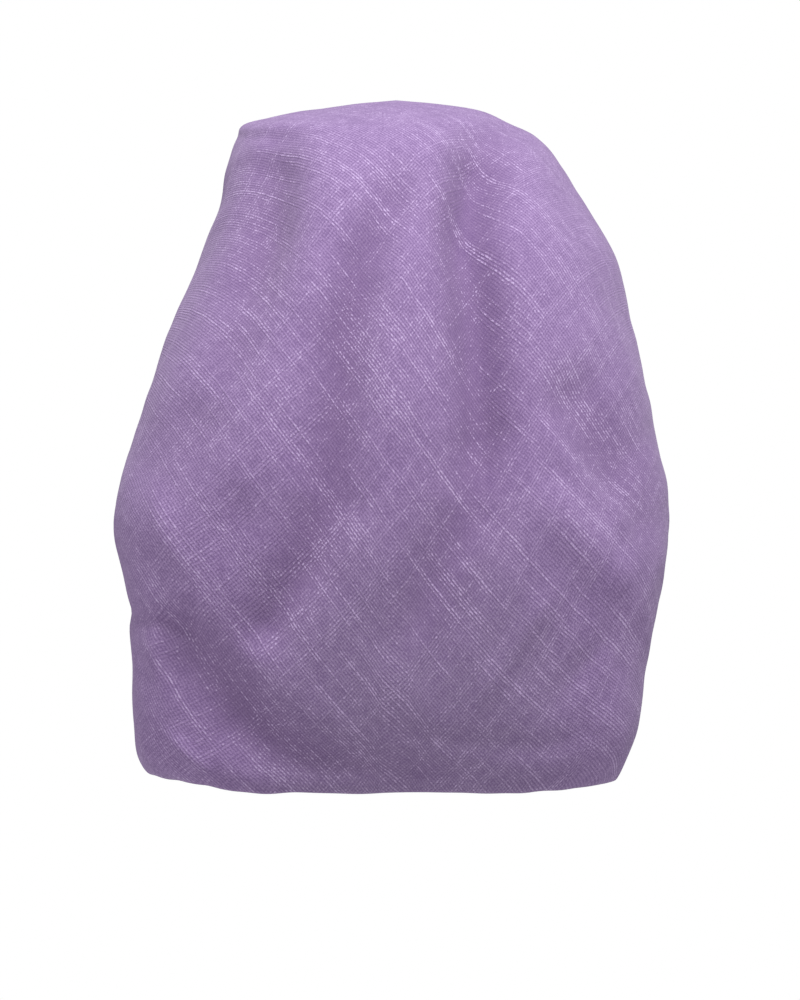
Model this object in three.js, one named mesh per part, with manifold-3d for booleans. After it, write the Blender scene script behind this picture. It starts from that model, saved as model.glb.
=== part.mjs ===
// A pre-tied bandana: a slip-on head wrap of thin slub cloth, cut on the bias and worn on the head.
// Units are millimetres. +Z is up, +Y is the way the wearer looks, +X is the wearer's right.
// The origin is the point where the top of the head touches the inside of the crown.
import * as THREE from "three";
import { mergeVertices } from "three/addons/utils/BufferGeometryUtils.js";
import Module from "manifold-3d";

const wasm = await Module();
wasm.setup();

// The cloth over the head and the full back that hangs behind the neck.
const HEIGHT = 246; // from the crown to the lowest hang of the back
const LEFT_REACH = 101.5; // from the middle to the widest point on the wearer's left
const RIGHT_REACH = 100; // the same, on the wearer's right
const BACK_REACH = 131; // from the crown's middle to the back of the hanging cloth
const CLOTH = 1.6; // wall of the main panel
const CLOTH_LENGTH = 390; // from the crown's middle, down the back and up again to the seam at the nape
const FOLD_DEPTH = 11; // the deepest hanging fold, from the plain surface to its bottom
const CORNER_LIFT = 3; // how much higher the lowest edge is at its two corners

// The head that the band goes round.
const HEAD_HALF_WIDTH = 79;
const HEAD_TO_FRONT = 98; // from the crown's middle to the band at the forehead
const HEAD_TO_NAPE = 80; // from the crown's middle to the band at the nape
const SKULL_HEIGHT = 106; // half height of the ellipsoid that the front cloth lies on

// The band that holds the head, its elastic and the tie.
const BAND_DROP_FRONT = 72; // from the crown down to the band's top edge, at the forehead
const BAND_DROP_NAPE = 178; // the same, at the nape
const BAND_WIDTH = 26;
const BAND_THICKNESS = 3; // cloth folded double round its seam allowance
const BAND_LEAN = 4; // how far the band's lower edge follows the forehead out and the nape in
const ELASTIC_WIDTH = 22;
const ELASTIC_THICKNESS = 3.2;
const ELASTIC_HALF_ANGLE = 34; // degrees each side of the nape
const RUFFLE_DEPTH = 1.3; // from the casing's middle surface to the top of a ruffle
const RUFFLES = 13;
const KNOT_WIDTH = 21;
const KNOT_HEIGHT = 16;
const KNOT_DEPTH = 11;
const KNOT_WAIST = 0.16; // how much slimmer it is in its middle
const TAIL_LENGTH = 36;
const TAIL_WIDTH = 17;
const TAIL_THICKNESS = 1.6;
const SEAM_GAP = 0.35; // between pieces that are sewn edge to edge
const PANEL_GAP = 0.3; // between the four solids that the panel's one cloth is cut into
const FRONT_CUT = 12; // in front of the crown's middle, where the front solid starts
const CROWN_CUT = -96; // the height at which the hanging back's solids end and the crown's starts
const SEAM_LIFT = 2.2; // more room over the band, for the cloth's slanting edge
const SEAM_RISE = 5; // how far above the band's top edge the hanging back turns over to it
const SEAM_REACH = 8; // how far out of the band it does so
const HANG_CLEAR = 11; // from the band's middle surface to the cloth that hangs beside it
const RETURN_CLEAR = 4.5; // the same, to the cloth that comes back up

// How finely the cloth is cut into faces, and how its rows on the head keep level with those that hang.
const FRONT_SPEED = 0.5;
const COLUMNS_BACK = 47;
const COLUMNS_FRONT = 14;
const ROWS_ALONG = 30;

// Plan sections of the hanging back, from the crown's middle to where it has turned up towards the nape.
// along is a share of the cloth's length; drop, left, right, back and middle are shares of the reaches above,
// middle is where a section is widest, and square is the power that makes it rounder (1) or boxier (less).
const BACK_SECTIONS = [
  { along: 0.0, drop: 0.0, left: 0.0, right: 0.0, back: 0.0, middle: 0.0, square: 1.0 },
  { along: 0.065, drop: 0.016, left: 0.24, right: 0.24, back: 0.24, middle: 0.0, square: 1.0 },
  { along: 0.115, drop: 0.034, left: 0.535, right: 0.42, back: 0.4, middle: 0.0, square: 1.0 },
  { along: 0.155, drop: 0.059, left: 0.585, right: 0.53, back: 0.5, middle: -0.01, square: 0.98 },
  { along: 0.2, drop: 0.105, left: 0.625, right: 0.62, back: 0.605, middle: -0.03, square: 0.95 },
  { along: 0.25, drop: 0.165, left: 0.655, right: 0.71, back: 0.7, middle: -0.07, square: 0.92 },
  { along: 0.305, drop: 0.24, left: 0.715, right: 0.81, back: 0.8, middle: -0.12, square: 0.9 },
  { along: 0.37, drop: 0.33, left: 0.8, right: 0.855, back: 0.88, middle: -0.2, square: 0.88 },
  { along: 0.45, drop: 0.45, left: 0.9, right: 0.925, back: 0.95, middle: -0.32, square: 0.87 },
  { along: 0.55, drop: 0.605, left: 1.0, right: 1.0, back: 0.995, middle: -0.45, square: 0.85 },
  { along: 0.62, drop: 0.72, left: 0.955, right: 0.95, back: 1.0, middle: -0.52, square: 0.82 },
  { along: 0.69, drop: 0.83, left: 0.93, right: 0.89, back: 0.985, middle: -0.56, square: 0.78 },
  { along: 0.745, drop: 0.92, left: 0.92, right: 0.86, back: 0.955, middle: -0.6, square: 0.74 },
  { along: 0.78, drop: 0.97, left: 0.905, right: 0.805, back: 0.92, middle: -0.61, square: 0.7 },
  { along: 0.81, drop: 0.996, left: 0.85, right: 0.75, back: 0.875, middle: -0.61, square: 0.7 },
  { along: 0.85, drop: 0.96, left: 0.77, right: 0.7, back: 0.82, middle: -0.59, square: 0.75 },
  { along: 0.93, drop: 0.83, left: 0.71, right: 0.67, back: 0.77, middle: -0.52, square: 0.85 },
];

// Points along the folds of the hanging back. across is a share of RIGHT_REACH, + towards the wearer's right;
// along is a share of the cloth's length; width is a share of HEIGHT and depth of FOLD_DEPTH, - for a ridge.
const FOLD_POINTS = [
  { fold: "left_valley", across: -0.42, along: 0.115, width: 0.036, depth: 0.0 },
  { fold: "left_valley", across: -0.434, along: 0.16, width: 0.04, depth: 0.45 },
  { fold: "left_valley", across: -0.455, along: 0.21, width: 0.044, depth: 0.8 },
  { fold: "left_valley", across: -0.483, along: 0.273, width: 0.045, depth: 0.75 },
  { fold: "left_valley", across: -0.56, along: 0.381, width: 0.048, depth: 0.3 },
  { fold: "left_valley", across: -0.634, along: 0.458, width: 0.045, depth: 0.0 },
  { fold: "middle_valley", across: 0.04, along: 0.17, width: 0.036, depth: 0.0 },
  { fold: "middle_valley", across: -0.02, along: 0.242, width: 0.04, depth: 0.4 },
  { fold: "middle_valley", across: -0.126, along: 0.299, width: 0.042, depth: 0.6 },
  { fold: "middle_valley", across: -0.186, along: 0.372, width: 0.04, depth: 0.75 },
  { fold: "middle_valley", across: -0.214, along: 0.467, width: 0.038, depth: 0.75 },
  { fold: "middle_valley", across: -0.192, along: 0.531, width: 0.038, depth: 0.65 },
  { fold: "middle_valley", across: -0.31, along: 0.586, width: 0.038, depth: 0.6 },
  { fold: "middle_valley", across: -0.44, along: 0.638, width: 0.038, depth: 0.4 },
  { fold: "middle_valley", across: -0.53, along: 0.677, width: 0.036, depth: 0.0 },
  { fold: "right_valley", across: 0.315, along: 0.1, width: 0.04, depth: 0.0 },
  { fold: "right_valley", across: 0.31, along: 0.15, width: 0.045, depth: 0.5 },
  { fold: "right_valley", across: 0.308, along: 0.2, width: 0.05, depth: 0.9 },
  { fold: "right_valley", across: 0.262, along: 0.273, width: 0.05, depth: 1.0 },
  { fold: "right_valley", across: 0.298, along: 0.351, width: 0.05, depth: 0.95 },
  { fold: "right_valley", across: 0.315, along: 0.467, width: 0.048, depth: 0.8 },
  { fold: "right_valley", across: 0.27, along: 0.54, width: 0.05, depth: 0.4 },
  { fold: "right_valley", across: 0.119, along: 0.621, width: 0.055, depth: 0.3 },
  { fold: "right_valley", across: 0.014, along: 0.702, width: 0.055, depth: 0.0 },
  { fold: "right_flank_valley", across: 0.55, along: 0.403, width: 0.04, depth: 0.0 },
  { fold: "right_flank_valley", across: 0.637, along: 0.447, width: 0.045, depth: 0.3 },
  { fold: "right_flank_valley", across: 0.79, along: 0.5, width: 0.048, depth: 0.45 },
  { fold: "right_flank_valley", across: 0.896, along: 0.551, width: 0.042, depth: 0.3 },
  { fold: "right_flank_valley", across: 0.95, along: 0.583, width: 0.036, depth: 0.0 },
  { fold: "right_flank_ridge", across: 0.46, along: 0.508, width: 0.034, depth: 0.0 },
  { fold: "right_flank_ridge", across: 0.574, along: 0.547, width: 0.038, depth: -0.3 },
  { fold: "right_flank_ridge", across: 0.756, along: 0.595, width: 0.038, depth: -0.25 },
  { fold: "right_flank_ridge", across: 0.86, along: 0.626, width: 0.034, depth: 0.0 },
  { fold: "left_flank_valley", across: -0.6, along: 0.449, width: 0.036, depth: 0.0 },
  { fold: "left_flank_valley", across: -0.72, along: 0.465, width: 0.04, depth: 0.25 },
  { fold: "left_flank_valley", across: -0.84, along: 0.509, width: 0.04, depth: 0.25 },
  { fold: "left_flank_valley", across: -0.92, along: 0.54, width: 0.036, depth: 0.0 },
  { fold: "left_knuckle", across: -0.63, along: 0.574, width: 0.036, depth: 0.0 },
  { fold: "left_knuckle", across: -0.56, along: 0.551, width: 0.038, depth: 0.25 },
  { fold: "left_knuckle", across: -0.46, along: 0.547, width: 0.036, depth: 0.18 },
  { fold: "left_knuckle", across: -0.39, along: 0.559, width: 0.034, depth: 0.0 },
  { fold: "low_left_notch", across: -0.95, along: 0.639, width: 0.018, depth: 0.12 },
  { fold: "low_left_notch", across: -0.756, along: 0.645, width: 0.024, depth: 0.25 },
  { fold: "low_left_notch", across: -0.64, along: 0.64, width: 0.022, depth: 0.0 },
  { fold: "low_swag", across: -0.82, along: 0.658, width: 0.034, depth: 0.0 },
  { fold: "low_swag", across: -0.7, along: 0.676, width: 0.05, depth: 0.4 },
  { fold: "low_swag", across: -0.563, along: 0.721, width: 0.05, depth: 0.5 },
  { fold: "low_swag", across: -0.336, along: 0.759, width: 0.04, depth: 0.35 },
  { fold: "low_swag", across: 0.014, along: 0.776, width: 0.032, depth: 0.15 },
  { fold: "low_swag", across: 0.434, along: 0.78, width: 0.03, depth: 0.0 },
];

const DEGREE = Math.PI / 180;

const ease = (from, to, value) => {
  const s = Math.min(1, Math.max(0, (value - from) / (to - from)));
  return s * s * (3 - 2 * s);
};

const mix = (a, b, share) => a + (b - a) * share;

// The section at one place along the cloth, on a smooth curve through the table's rows.
function sectionAt(along) {
  const rows = BACK_SECTIONS;
  const last = rows.length - 1;
  let i = 0;
  while (i < last - 1 && rows[i + 1].along < along) i++;
  const [p, q] = [rows[i], rows[i + 1]];
  const span = q.along - p.along;
  const s = (along - p.along) / span;
  const made = {};
  for (const key of ["drop", "left", "right", "back", "middle", "square"]) {
    const before = i > 0 ? (q[key] - rows[i - 1][key]) / (q.along - rows[i - 1].along) : (q[key] - p[key]) / span;
    const after = i < last - 1 ? (rows[i + 2][key] - p[key]) / (rows[i + 2].along - p.along) : (q[key] - p[key]) / span;
    made[key] =
      p[key] * (1 + 2 * s) * (1 - s) ** 2 +
      q[key] * s * s * (3 - 2 * s) +
      before * span * s * (1 - s) ** 2 +
      after * span * s * s * (s - 1);
  }
  return made;
}

// The top edge of the band. turn is degrees round the head from the nape, 180 at the forehead.
function bandTop(turn) {
  const t = turn * DEGREE;
  const reach = (HEAD_TO_FRONT + HEAD_TO_NAPE) / 2;
  const toNape = ((1 + Math.cos(t)) / 2) ** 1.5;
  return new THREE.Vector3(
    HEAD_HALF_WIDTH * Math.sin(t),
    HEAD_TO_FRONT - reach - reach * Math.cos(t),
    -mix(BAND_DROP_FRONT, BAND_DROP_NAPE, toNape),
  );
}

// The level way out of the head at one place of the band.
function bandOutward(turn) {
  const t = turn * DEGREE;
  const reach = (HEAD_TO_FRONT + HEAD_TO_NAPE) / 2;
  return new THREE.Vector3(reach * Math.sin(t), -HEAD_HALF_WIDTH * Math.cos(t), 0).normalize();
}

// A place on the band's middle surface: down is millimetres below its top edge, out is from that surface.
function bandPlace(turn, down, out) {
  const lean = (-BAND_LEAN * Math.cos(turn * DEGREE) * down) / BAND_WIDTH;
  return bandTop(turn)
    .addScaledVector(bandOutward(turn), out + lean)
    .add(new THREE.Vector3(0, 0, -down));
}

// 1 where a column of cloth hangs full, 0 where it lies on the head. The two run into each other on the crown.
const hangShare = (angle, along) => 1 - ease(88, mix(176, 134, ease(0.05, 0.5, along)), Math.abs(angle));

// The cloth's columns are swept back: this is where on the band the column at an angle ends.
const seamTurn = (angle) => angle - 40 * Math.sin(angle * DEGREE);

// Where the cloth's outside meets the band: it comes down to the band in front, and over to it behind.
const seamPlace = (angle) =>
  bandPlace(
    seamTurn(angle),
    -SEAM_GAP - SEAM_LIFT,
    mix(CLOTH / 2, -CLOTH / 2, hangShare(angle, 1)),
  );

// Cloth that lies on the head, from the crown's middle to the band.
function frontCloth(angle, along) {
  const seam = seamPlace(angle);
  const arc = Math.acos(1 + seam.z / SKULL_HEIGHT);
  const share = along ** FRONT_SPEED;
  const out = Math.sin(arc * share) / Math.sin(arc);
  return new THREE.Vector3(seam.x * out, seam.y * out, -SKULL_HEIGHT * (1 - Math.cos(arc * share)));
}

// Cloth that hangs full behind the head and turns under at the bottom.
function backCloth(angle, along) {
  const section = sectionAt(along);
  const [sin, cos] = [Math.sin(angle * DEGREE), Math.cos(angle * DEGREE)];
  const boxy = (value) => Math.sign(value) * Math.abs(value) ** section.square;
  const side = sin < 0 ? section.left * LEFT_REACH : section.right * RIGHT_REACH;
  const middle = section.middle * BACK_REACH;
  const depth = (section.back + section.middle) * BACK_REACH;
  const lift = CORNER_LIFT * ease(0.68, 1, Math.abs(boxy(sin))) * ease(0.66, 0.78, along);
  return new THREE.Vector3(side * boxy(sin), middle - depth * boxy(cos), lift - section.drop * HEIGHT);
}

// The cloth with the head and its band in the way. What hangs beside the band stays outside of it,
// and what comes back up to it is drawn together towards the seam.
function looseCloth(angle, along) {
  const hang = hangShare(angle, along);
  const place = frontCloth(angle, along).lerp(backCloth(angle, along), hang);
  const reach = (HEAD_TO_FRONT + HEAD_TO_NAPE) / 2;
  const [across, back] = [place.x / HEAD_HALF_WIDTH, (HEAD_TO_FRONT - reach - place.y) / reach];
  const turn = Math.atan2(across, back) / DEGREE;
  const below = bandTop(turn).z - place.z;
  const drawn = mix(turn, seamTurn(angle), 0.85 * ease(0.72, 0.93, along) * ease(-10, 10, below));
  const wanted = mix(HANG_CLEAR, RETURN_CLEAR, ease(0.76, 0.87, along)) * ease(0, 0.2, hang);
  const clear = wanted * ease(-14, 0, bandTop(drawn).z - place.z);
  const out = Math.max(Math.hypot(across, back), clear > 0 ? 1 + clear / HEAD_HALF_WIDTH : 0);
  return new THREE.Vector3(
    out * HEAD_HALF_WIDTH * Math.sin(drawn * DEGREE),
    HEAD_TO_FRONT - reach - out * reach * Math.cos(drawn * DEGREE),
    place.z,
  );
}

// The outside of the main panel, before the folds.
function plainCloth(angle, along) {
  const loose = BACK_SECTIONS[BACK_SECTIONS.length - 1].along;
  if (along <= loose) return looseCloth(angle, along);
  const s = (along - loose) / (1 - loose);
  const start = looseCloth(angle, loose);
  const seam = seamPlace(angle);
  const hang = hangShare(angle, 1);
  const over = bandPlace(seamTurn(angle), -mix(1, SEAM_RISE, hang), mix(2, SEAM_REACH, hang));
  const control = start.clone().lerp(seam, 0.5).lerp(over, ease(0, 0.25, hang));
  return start
    .multiplyScalar((1 - s) ** 2)
    .addScaledVector(control, 2 * s * (1 - s))
    .addScaledVector(seam, s * s);
}

const FOLDS = [...new Set(FOLD_POINTS.map((point) => point.fold))].map((name) =>
  FOLD_POINTS.filter((point) => point.fold === name),
);

// How deep the folds press in the plain surface, x to the side of the middle and a share along the cloth.
function foldDepth(x, along) {
  let pressed = 0;
  for (const points of FOLDS) {
    let deepest = 0;
    for (let i = 0; i + 1 < points.length; i++) {
      const [p, q] = [points[i], points[i + 1]];
      const [dx, dv] = [(q.across - p.across) * RIGHT_REACH, (q.along - p.along) * CLOTH_LENGTH];
      const [px, pv] = [x - p.across * RIGHT_REACH, (along - p.along) * CLOTH_LENGTH];
      const share = Math.min(1, Math.max(0, (px * dx + pv * dv) / (dx * dx + dv * dv)));
      const apart = Math.hypot(px - share * dx, pv - share * dv) / (mix(p.width, q.width, share) * HEIGHT);
      const depth = mix(p.depth, q.depth, ease(0, 1, share)) * Math.exp(-apart * apart);
      if (Math.abs(depth) > Math.abs(deepest)) deepest = depth;
    }
    pressed += deepest * FOLD_DEPTH;
  }
  return pressed;
}

// The outside of the main panel. angle runs from -180 to 180 degrees, 0 at the middle of the back.
function clothPlace(angle, along) {
  const step = 0.5;
  const reach = 0.004;
  const place = plainCloth(angle, along);
  const across = plainCloth(angle + step, along).sub(plainCloth(angle - step, along));
  const down = plainCloth(angle, Math.min(1, along + reach)).sub(plainCloth(angle, Math.max(0, along - reach)));
  const outward = down.cross(across);
  if (outward.lengthSq() < 1e-12) return place;
  const outside = (1 - ease(0.77, 0.82, along)) * (1 - ease(88, 112, Math.abs(angle)));
  return place.addScaledVector(outward.normalize(), -outside * foldDepth(place.x, along));
}

// Rows lie closer together where the cloth turns under.
function rowAlong(row) {
  const share = row / ROWS_ALONG;
  if (share < 0.56) return (0.7 * share) / 0.56;
  if (share < 0.86) return 0.7 + (0.2 * (share - 0.56)) / 0.3;
  return 0.9 + (0.1 * (share - 0.86)) / 0.14;
}

// Degrees of the cloth's columns: close together on the folded back, wider over the forehead.
function columnAngles() {
  const turn = 124;
  const angles = [];
  for (let i = 0; i < COLUMNS_BACK; i++) angles.push(-turn + (2 * turn * i) / COLUMNS_BACK);
  for (let i = 0; i < COLUMNS_FRONT; i++) angles.push(turn + ((360 - 2 * turn) * i) / COLUMNS_FRONT);
  return angles.map((angle) => (angle > 180 ? angle - 360 : angle));
}

const geometryOf = (places, faces) =>
  new THREE.BufferGeometry()
    .setAttribute("position", new THREE.Float32BufferAttribute(places.flatMap((p) => [p.x, p.y, p.z]), 3))
    .setIndex(faces);

// The main panel: the outside surface, the same moved in by the cloth's wall, and the cut edge between them.
function panelGeometry() {
  const angles = columnAngles();
  const around = angles.length;
  const outside = [clothPlace(0, 0)];
  for (let row = 1; row <= ROWS_ALONG; row++)
    for (const angle of angles) outside.push(clothPlace(angle, rowAlong(row)));
  const at = (row, column) => (row === 0 ? 0 : 1 + (row - 1) * around + (column % around));
  const faces = [];
  for (let row = 0; row < ROWS_ALONG; row++)
    for (let column = 0; column < around; column++) {
      const [a, b] = [at(row, column), at(row, column + 1)];
      const [c, d] = [at(row + 1, column), at(row + 1, column + 1)];
      if (row > 0) faces.push(a, d, b);
      faces.push(a, c, d);
    }
  const skin = geometryOf(outside, faces);
  skin.computeVertexNormals();
  const normals = skin.getAttribute("normal");
  const inside = outside.map((place, i) =>
    place.clone().addScaledVector(new THREE.Vector3().fromBufferAttribute(normals, i), -CLOTH),
  );
  const count = outside.length;
  const inner = [];
  for (let i = 0; i < faces.length; i += 3) inner.push(faces[i] + count, faces[i + 2] + count, faces[i + 1] + count);
  const edge = [];
  for (let column = 0; column < around; column++) {
    const [a, b] = [at(ROWS_ALONG, column), at(ROWS_ALONG, column + 1)];
    edge.push(a, a + count, b + count, a, b + count, b);
  }
  return geometryOf([...outside, ...inside], [...faces, ...inner, ...edge]);
}

// A closed geometry as a solid that can be cut and joined.
function solidOf(geometry) {
  const merged = mergeVertices(geometry, 1e-3);
  return new wasm.Manifold(
    new wasm.Mesh({
      numProp: 3,
      vertProperties: merged.getAttribute("position").array,
      triVerts: new Uint32Array(merged.index.array),
    }),
  );
}

function geometryFrom(solid) {
  const mesh = solid.getMesh();
  return new THREE.BufferGeometry()
    .setAttribute("position", new THREE.BufferAttribute(mesh.vertProperties, 3))
    .setIndex(new THREE.BufferAttribute(mesh.triVerts, 1));
}

// Closed geometries joined into one solid.
const joined = (geometries) => geometryFrom(wasm.Manifold.union(geometries.map(solidOf)));

// The panel's one cloth in four simpler solids, so that collision can stay open inside each.
function panelPieces() {
  const panel = solidOf(panelGeometry());
  const over = (solid, normal, from) => solid.trimByPlane(normal, from + PANEL_GAP / 2).simplify(0.04);
  const back = over(panel, [0, -1, 0], -FRONT_CUT);
  const hanging = over(back, [0, 0, -1], -CROWN_CUT);
  return {
    panel_front: over(panel, [0, 1, 0], FRONT_CUT),
    panel_crown: over(back, [0, 0, 1], CROWN_CUT),
    panel_left: over(hanging, [-1, 0, 0], 0),
    panel_right: over(hanging, [1, 0, 0], 0),
  };
}

// A closed bar swept through rings of places, all with as many places, each ring turning the same way.
function barGeometry(rings) {
  const sides = rings[0].length;
  const faces = [];
  for (let i = 0; i + 1 < rings.length; i++)
    for (let j = 0; j < sides; j++) {
      const [a, b] = [i * sides + j, i * sides + ((j + 1) % sides)];
      faces.push(a, b, b + sides, a, b + sides, a + sides);
    }
  const end = (rings.length - 1) * sides;
  for (let j = 1; j + 1 < sides; j++) {
    faces.push(0, j + 1, j);
    faces.push(end, end + j, end + j + 1);
  }
  return geometryOf(rings.flat(), faces);
}

// The corners of a flat folded strip's section, as [across, through] shares of its half width and half thickness.
const STRIP_SECTION = [
  [-1, 0.35],
  [-0.8, 1],
  [0.8, 1],
  [1, 0.35],
  [1, -0.35],
  [0.8, -1],
  [-0.8, -1],
  [-1, -0.35],
];

// A strip round the head, between two turns, ruffled by wave(share) millimetres.
function headStrip(fromTurn, toTurn, steps, width, thickness, wave) {
  const rings = [];
  for (let i = 0; i <= steps; i++) {
    const share = i / steps;
    const turn = mix(fromTurn, toTurn, share);
    rings.push(
      STRIP_SECTION.map(([across, through]) =>
        bandPlace(turn, SEAM_GAP + (width * (1 + across)) / 2, wave(share) + (through * thickness) / 2),
      ),
    );
  }
  return barGeometry(rings);
}

const bandEnd = ELASTIC_HALF_ANGLE + (SEAM_GAP / HEAD_HALF_WIDTH / DEGREE) * 1.2;
const bandGeometry = headStrip(bandEnd, 360 - bandEnd, 64, BAND_WIDTH, BAND_THICKNESS, () => 0);
const ruffle = (share) => RUFFLE_DEPTH * Math.sin(share * RUFFLES * 2 * Math.PI) * Math.sin(share * Math.PI) ** 0.5;
const elasticGeometry = headStrip(
  -ELASTIC_HALF_ANGLE,
  ELASTIC_HALF_ANGLE,
  RUFFLES * 4,
  ELASTIC_WIDTH,
  ELASTIC_THICKNESS,
  ruffle,
);

// The tie sewn to the middle of the elastic: a knot and its two short ends, joined into one piece.
const knotMiddle = bandPlace(
  0,
  ELASTIC_WIDTH * 0.75,
  ELASTIC_THICKNESS / 2 + RUFFLE_DEPTH + SEAM_GAP + ((1 - KNOT_WAIST) * KNOT_DEPTH) / 2,
);

function knotGeometry() {
  const rows = 12;
  const round = 16;
  const rings = [];
  for (let i = 1; i < rows; i++) {
    const across = (i / rows) * Math.PI;
    const waist = 1 - KNOT_WAIST * Math.exp(-(((i - rows / 2) / 2.2) ** 2));
    const size = Math.sin(across) ** 0.7 * waist;
    const ring = [];
    for (let j = 0; j < round; j++) {
      const turn = (-j / round) * 2 * Math.PI;
      ring.push(
        new THREE.Vector3(
          (KNOT_WIDTH / 2) * Math.cos(across),
          (KNOT_DEPTH / 2) * size * Math.cos(turn),
          (KNOT_HEIGHT / 2) * size * Math.sin(turn),
        ).add(knotMiddle),
      );
    }
    rings.push(ring);
  }
  return barGeometry(rings);
}

function tailGeometry(side) {
  const steps = 10;
  const rings = [];
  for (let i = 0; i <= steps; i++) {
    const share = i / steps;
    const width = TAIL_WIDTH * mix(0.45, 1, ease(0, 0.8, share));
    const down = share * TAIL_LENGTH;
    const middle = new THREE.Vector3(side * (KNOT_WIDTH * 0.16 + down * 0.4), 0, -KNOT_HEIGHT / 4 - down).add(knotMiddle);
    rings.push(
      STRIP_SECTION.map(
        ([across, through]) =>
          new THREE.Vector3(
            middle.x + (across * width) / 2,
            middle.y + (through * TAIL_THICKNESS) / 2 + 0.8 * Math.sin(across * 3 + side) * share,
            middle.z - (across * side * width * share) / 3,
          ),
      ),
    );
  }
  return barGeometry(rings);
}

const LAVENDER = 0xa083b8;
const clothFinish = (color) => new THREE.MeshStandardMaterial({ color, roughness: 0.9, metalness: 0 });

const bandana = new THREE.Group();
const addPiece = (name, geometry, material) => {
  const mesh = new THREE.Mesh(geometry, material);
  mesh.name = name;
  bandana.add(mesh);
};

for (const [name, solid] of Object.entries(panelPieces())) addPiece(name, geometryFrom(solid), clothFinish(LAVENDER));
addPiece("brow_band", bandGeometry, clothFinish(LAVENDER));
addPiece("nape_elastic", elasticGeometry, clothFinish(LAVENDER));
addPiece("nape_tie", joined([knotGeometry(), tailGeometry(-1), tailGeometry(1)]), clothFinish(LAVENDER));

export default bandana;
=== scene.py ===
"""A pre-tied bandana: a slip-on head wrap of thin slub cloth, shown as it is worn.

The cloth's shape is worked out from the same named sizes as the part, on a finer grid and with the small
wrinkles that the part leaves out. Sizes are millimetres until a mesh is made. +Z is up, +Y is the way the
wearer looks and +X is the wearer's right.
"""
import logging
import math
from dataclasses import dataclass, field
from enum import Enum
from typing import Callable, NamedTuple

import bpy
import numpy as np
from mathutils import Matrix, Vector


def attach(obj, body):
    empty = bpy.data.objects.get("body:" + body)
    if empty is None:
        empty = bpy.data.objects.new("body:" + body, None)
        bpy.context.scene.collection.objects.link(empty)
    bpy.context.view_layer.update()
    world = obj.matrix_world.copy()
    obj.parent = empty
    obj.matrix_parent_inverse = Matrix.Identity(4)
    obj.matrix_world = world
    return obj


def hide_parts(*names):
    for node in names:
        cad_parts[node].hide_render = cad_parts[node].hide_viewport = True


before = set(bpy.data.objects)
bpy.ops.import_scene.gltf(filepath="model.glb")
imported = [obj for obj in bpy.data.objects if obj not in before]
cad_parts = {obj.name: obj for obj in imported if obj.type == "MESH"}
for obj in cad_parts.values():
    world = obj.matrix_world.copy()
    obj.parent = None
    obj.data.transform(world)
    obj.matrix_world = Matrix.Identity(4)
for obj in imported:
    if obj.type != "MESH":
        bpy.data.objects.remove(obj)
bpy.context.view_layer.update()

METRES = 0.001
FLAT_SCALE = 500.0  # millimetres of flat cloth across its layout
SLANT = 0.707  # the sine of 45 degrees, for cloth cut on the bias
WHITE = (1.0, 1.0, 1.0, 1.0)
LOG = logging.getLogger("bandana")
Array = np.ndarray
Face = tuple[int, ...]
Colour = tuple[float, float, float, float]
Socket = bpy.types.NodeSocket
Material = bpy.types.Material
Object = bpy.types.Object
Feeds = dict[str | int, object]


def ease(start: float | Array, end: float | Array, value: float | Array) -> Array:
    """A smooth step.

    Args:
        start: Where the step leaves 0.
        end: Where the step reaches 1.
        value: What is looked up.

    Returns:
        0 before start, 1 past end, and a smooth curve between them.
    """
    share = np.clip((value - start) / (end - start), 0.0, 1.0)
    return share * share * (3.0 - 2.0 * share)


def mix(a: float | Array, b: float | Array, share: float | Array) -> float | Array:
    """The value that lies a share of the way from a to b."""
    return a + (b - a) * share


def unit(vectors: Array) -> Array:
    """The vectors in the last axis, each made one long."""
    return vectors / np.maximum(np.linalg.norm(vectors, axis=-1, keepdims=True), 1e-9)


class SectionRow(NamedTuple):
    """One plan section of the hanging back, as shares of the cloth's reaches."""

    along: float
    drop: float
    left: float
    right: float
    back: float
    middle: float
    square: float


class FoldPoint(NamedTuple):
    """One point along a fold, with its width as a share of the height and its depth of the deepest fold."""

    across: float
    along: float
    width: float
    depth: float


def fold_lines(table: dict[str, tuple[tuple[float, ...], ...]]) -> dict[str, tuple[FoldPoint, ...]]:
    """The named folds of a table, each a line of points."""
    return {name: tuple(FoldPoint(*point) for point in points) for name, points in table.items()}


BACK_SECTIONS = tuple(
    SectionRow(*row)
    for row in (
        (0.0, 0.0, 0.0, 0.0, 0.0, 0.0, 1.0),
        (0.065, 0.011, 0.24, 0.24, 0.24, 0.0, 1.0),
        (0.115, 0.034, 0.535, 0.42, 0.4, 0.0, 1.0),
        (0.155, 0.059, 0.585, 0.53, 0.5, -0.01, 0.98),
        (0.2, 0.105, 0.625, 0.62, 0.605, -0.03, 0.95),
        (0.25, 0.165, 0.655, 0.71, 0.7, -0.07, 0.92),
        (0.305, 0.24, 0.715, 0.81, 0.8, -0.12, 0.9),
        (0.37, 0.33, 0.8, 0.855, 0.88, -0.2, 0.88),
        (0.45, 0.45, 0.9, 0.925, 0.95, -0.32, 0.87),
        (0.55, 0.605, 1.0, 1.0, 0.995, -0.45, 0.85),
        (0.62, 0.72, 0.955, 0.95, 1.0, -0.52, 0.82),
        (0.69, 0.83, 0.93, 0.89, 0.985, -0.56, 0.78),
        (0.745, 0.92, 0.92, 0.86, 0.955, -0.6, 0.74),
        (0.78, 0.97, 0.905, 0.805, 0.92, -0.61, 0.7),
        (0.81, 0.996, 0.85, 0.75, 0.875, -0.61, 0.7),
        (0.85, 0.96, 0.77, 0.7, 0.82, -0.59, 0.75),
        (0.93, 0.83, 0.71, 0.67, 0.77, -0.52, 0.85),
    )
)

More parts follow.
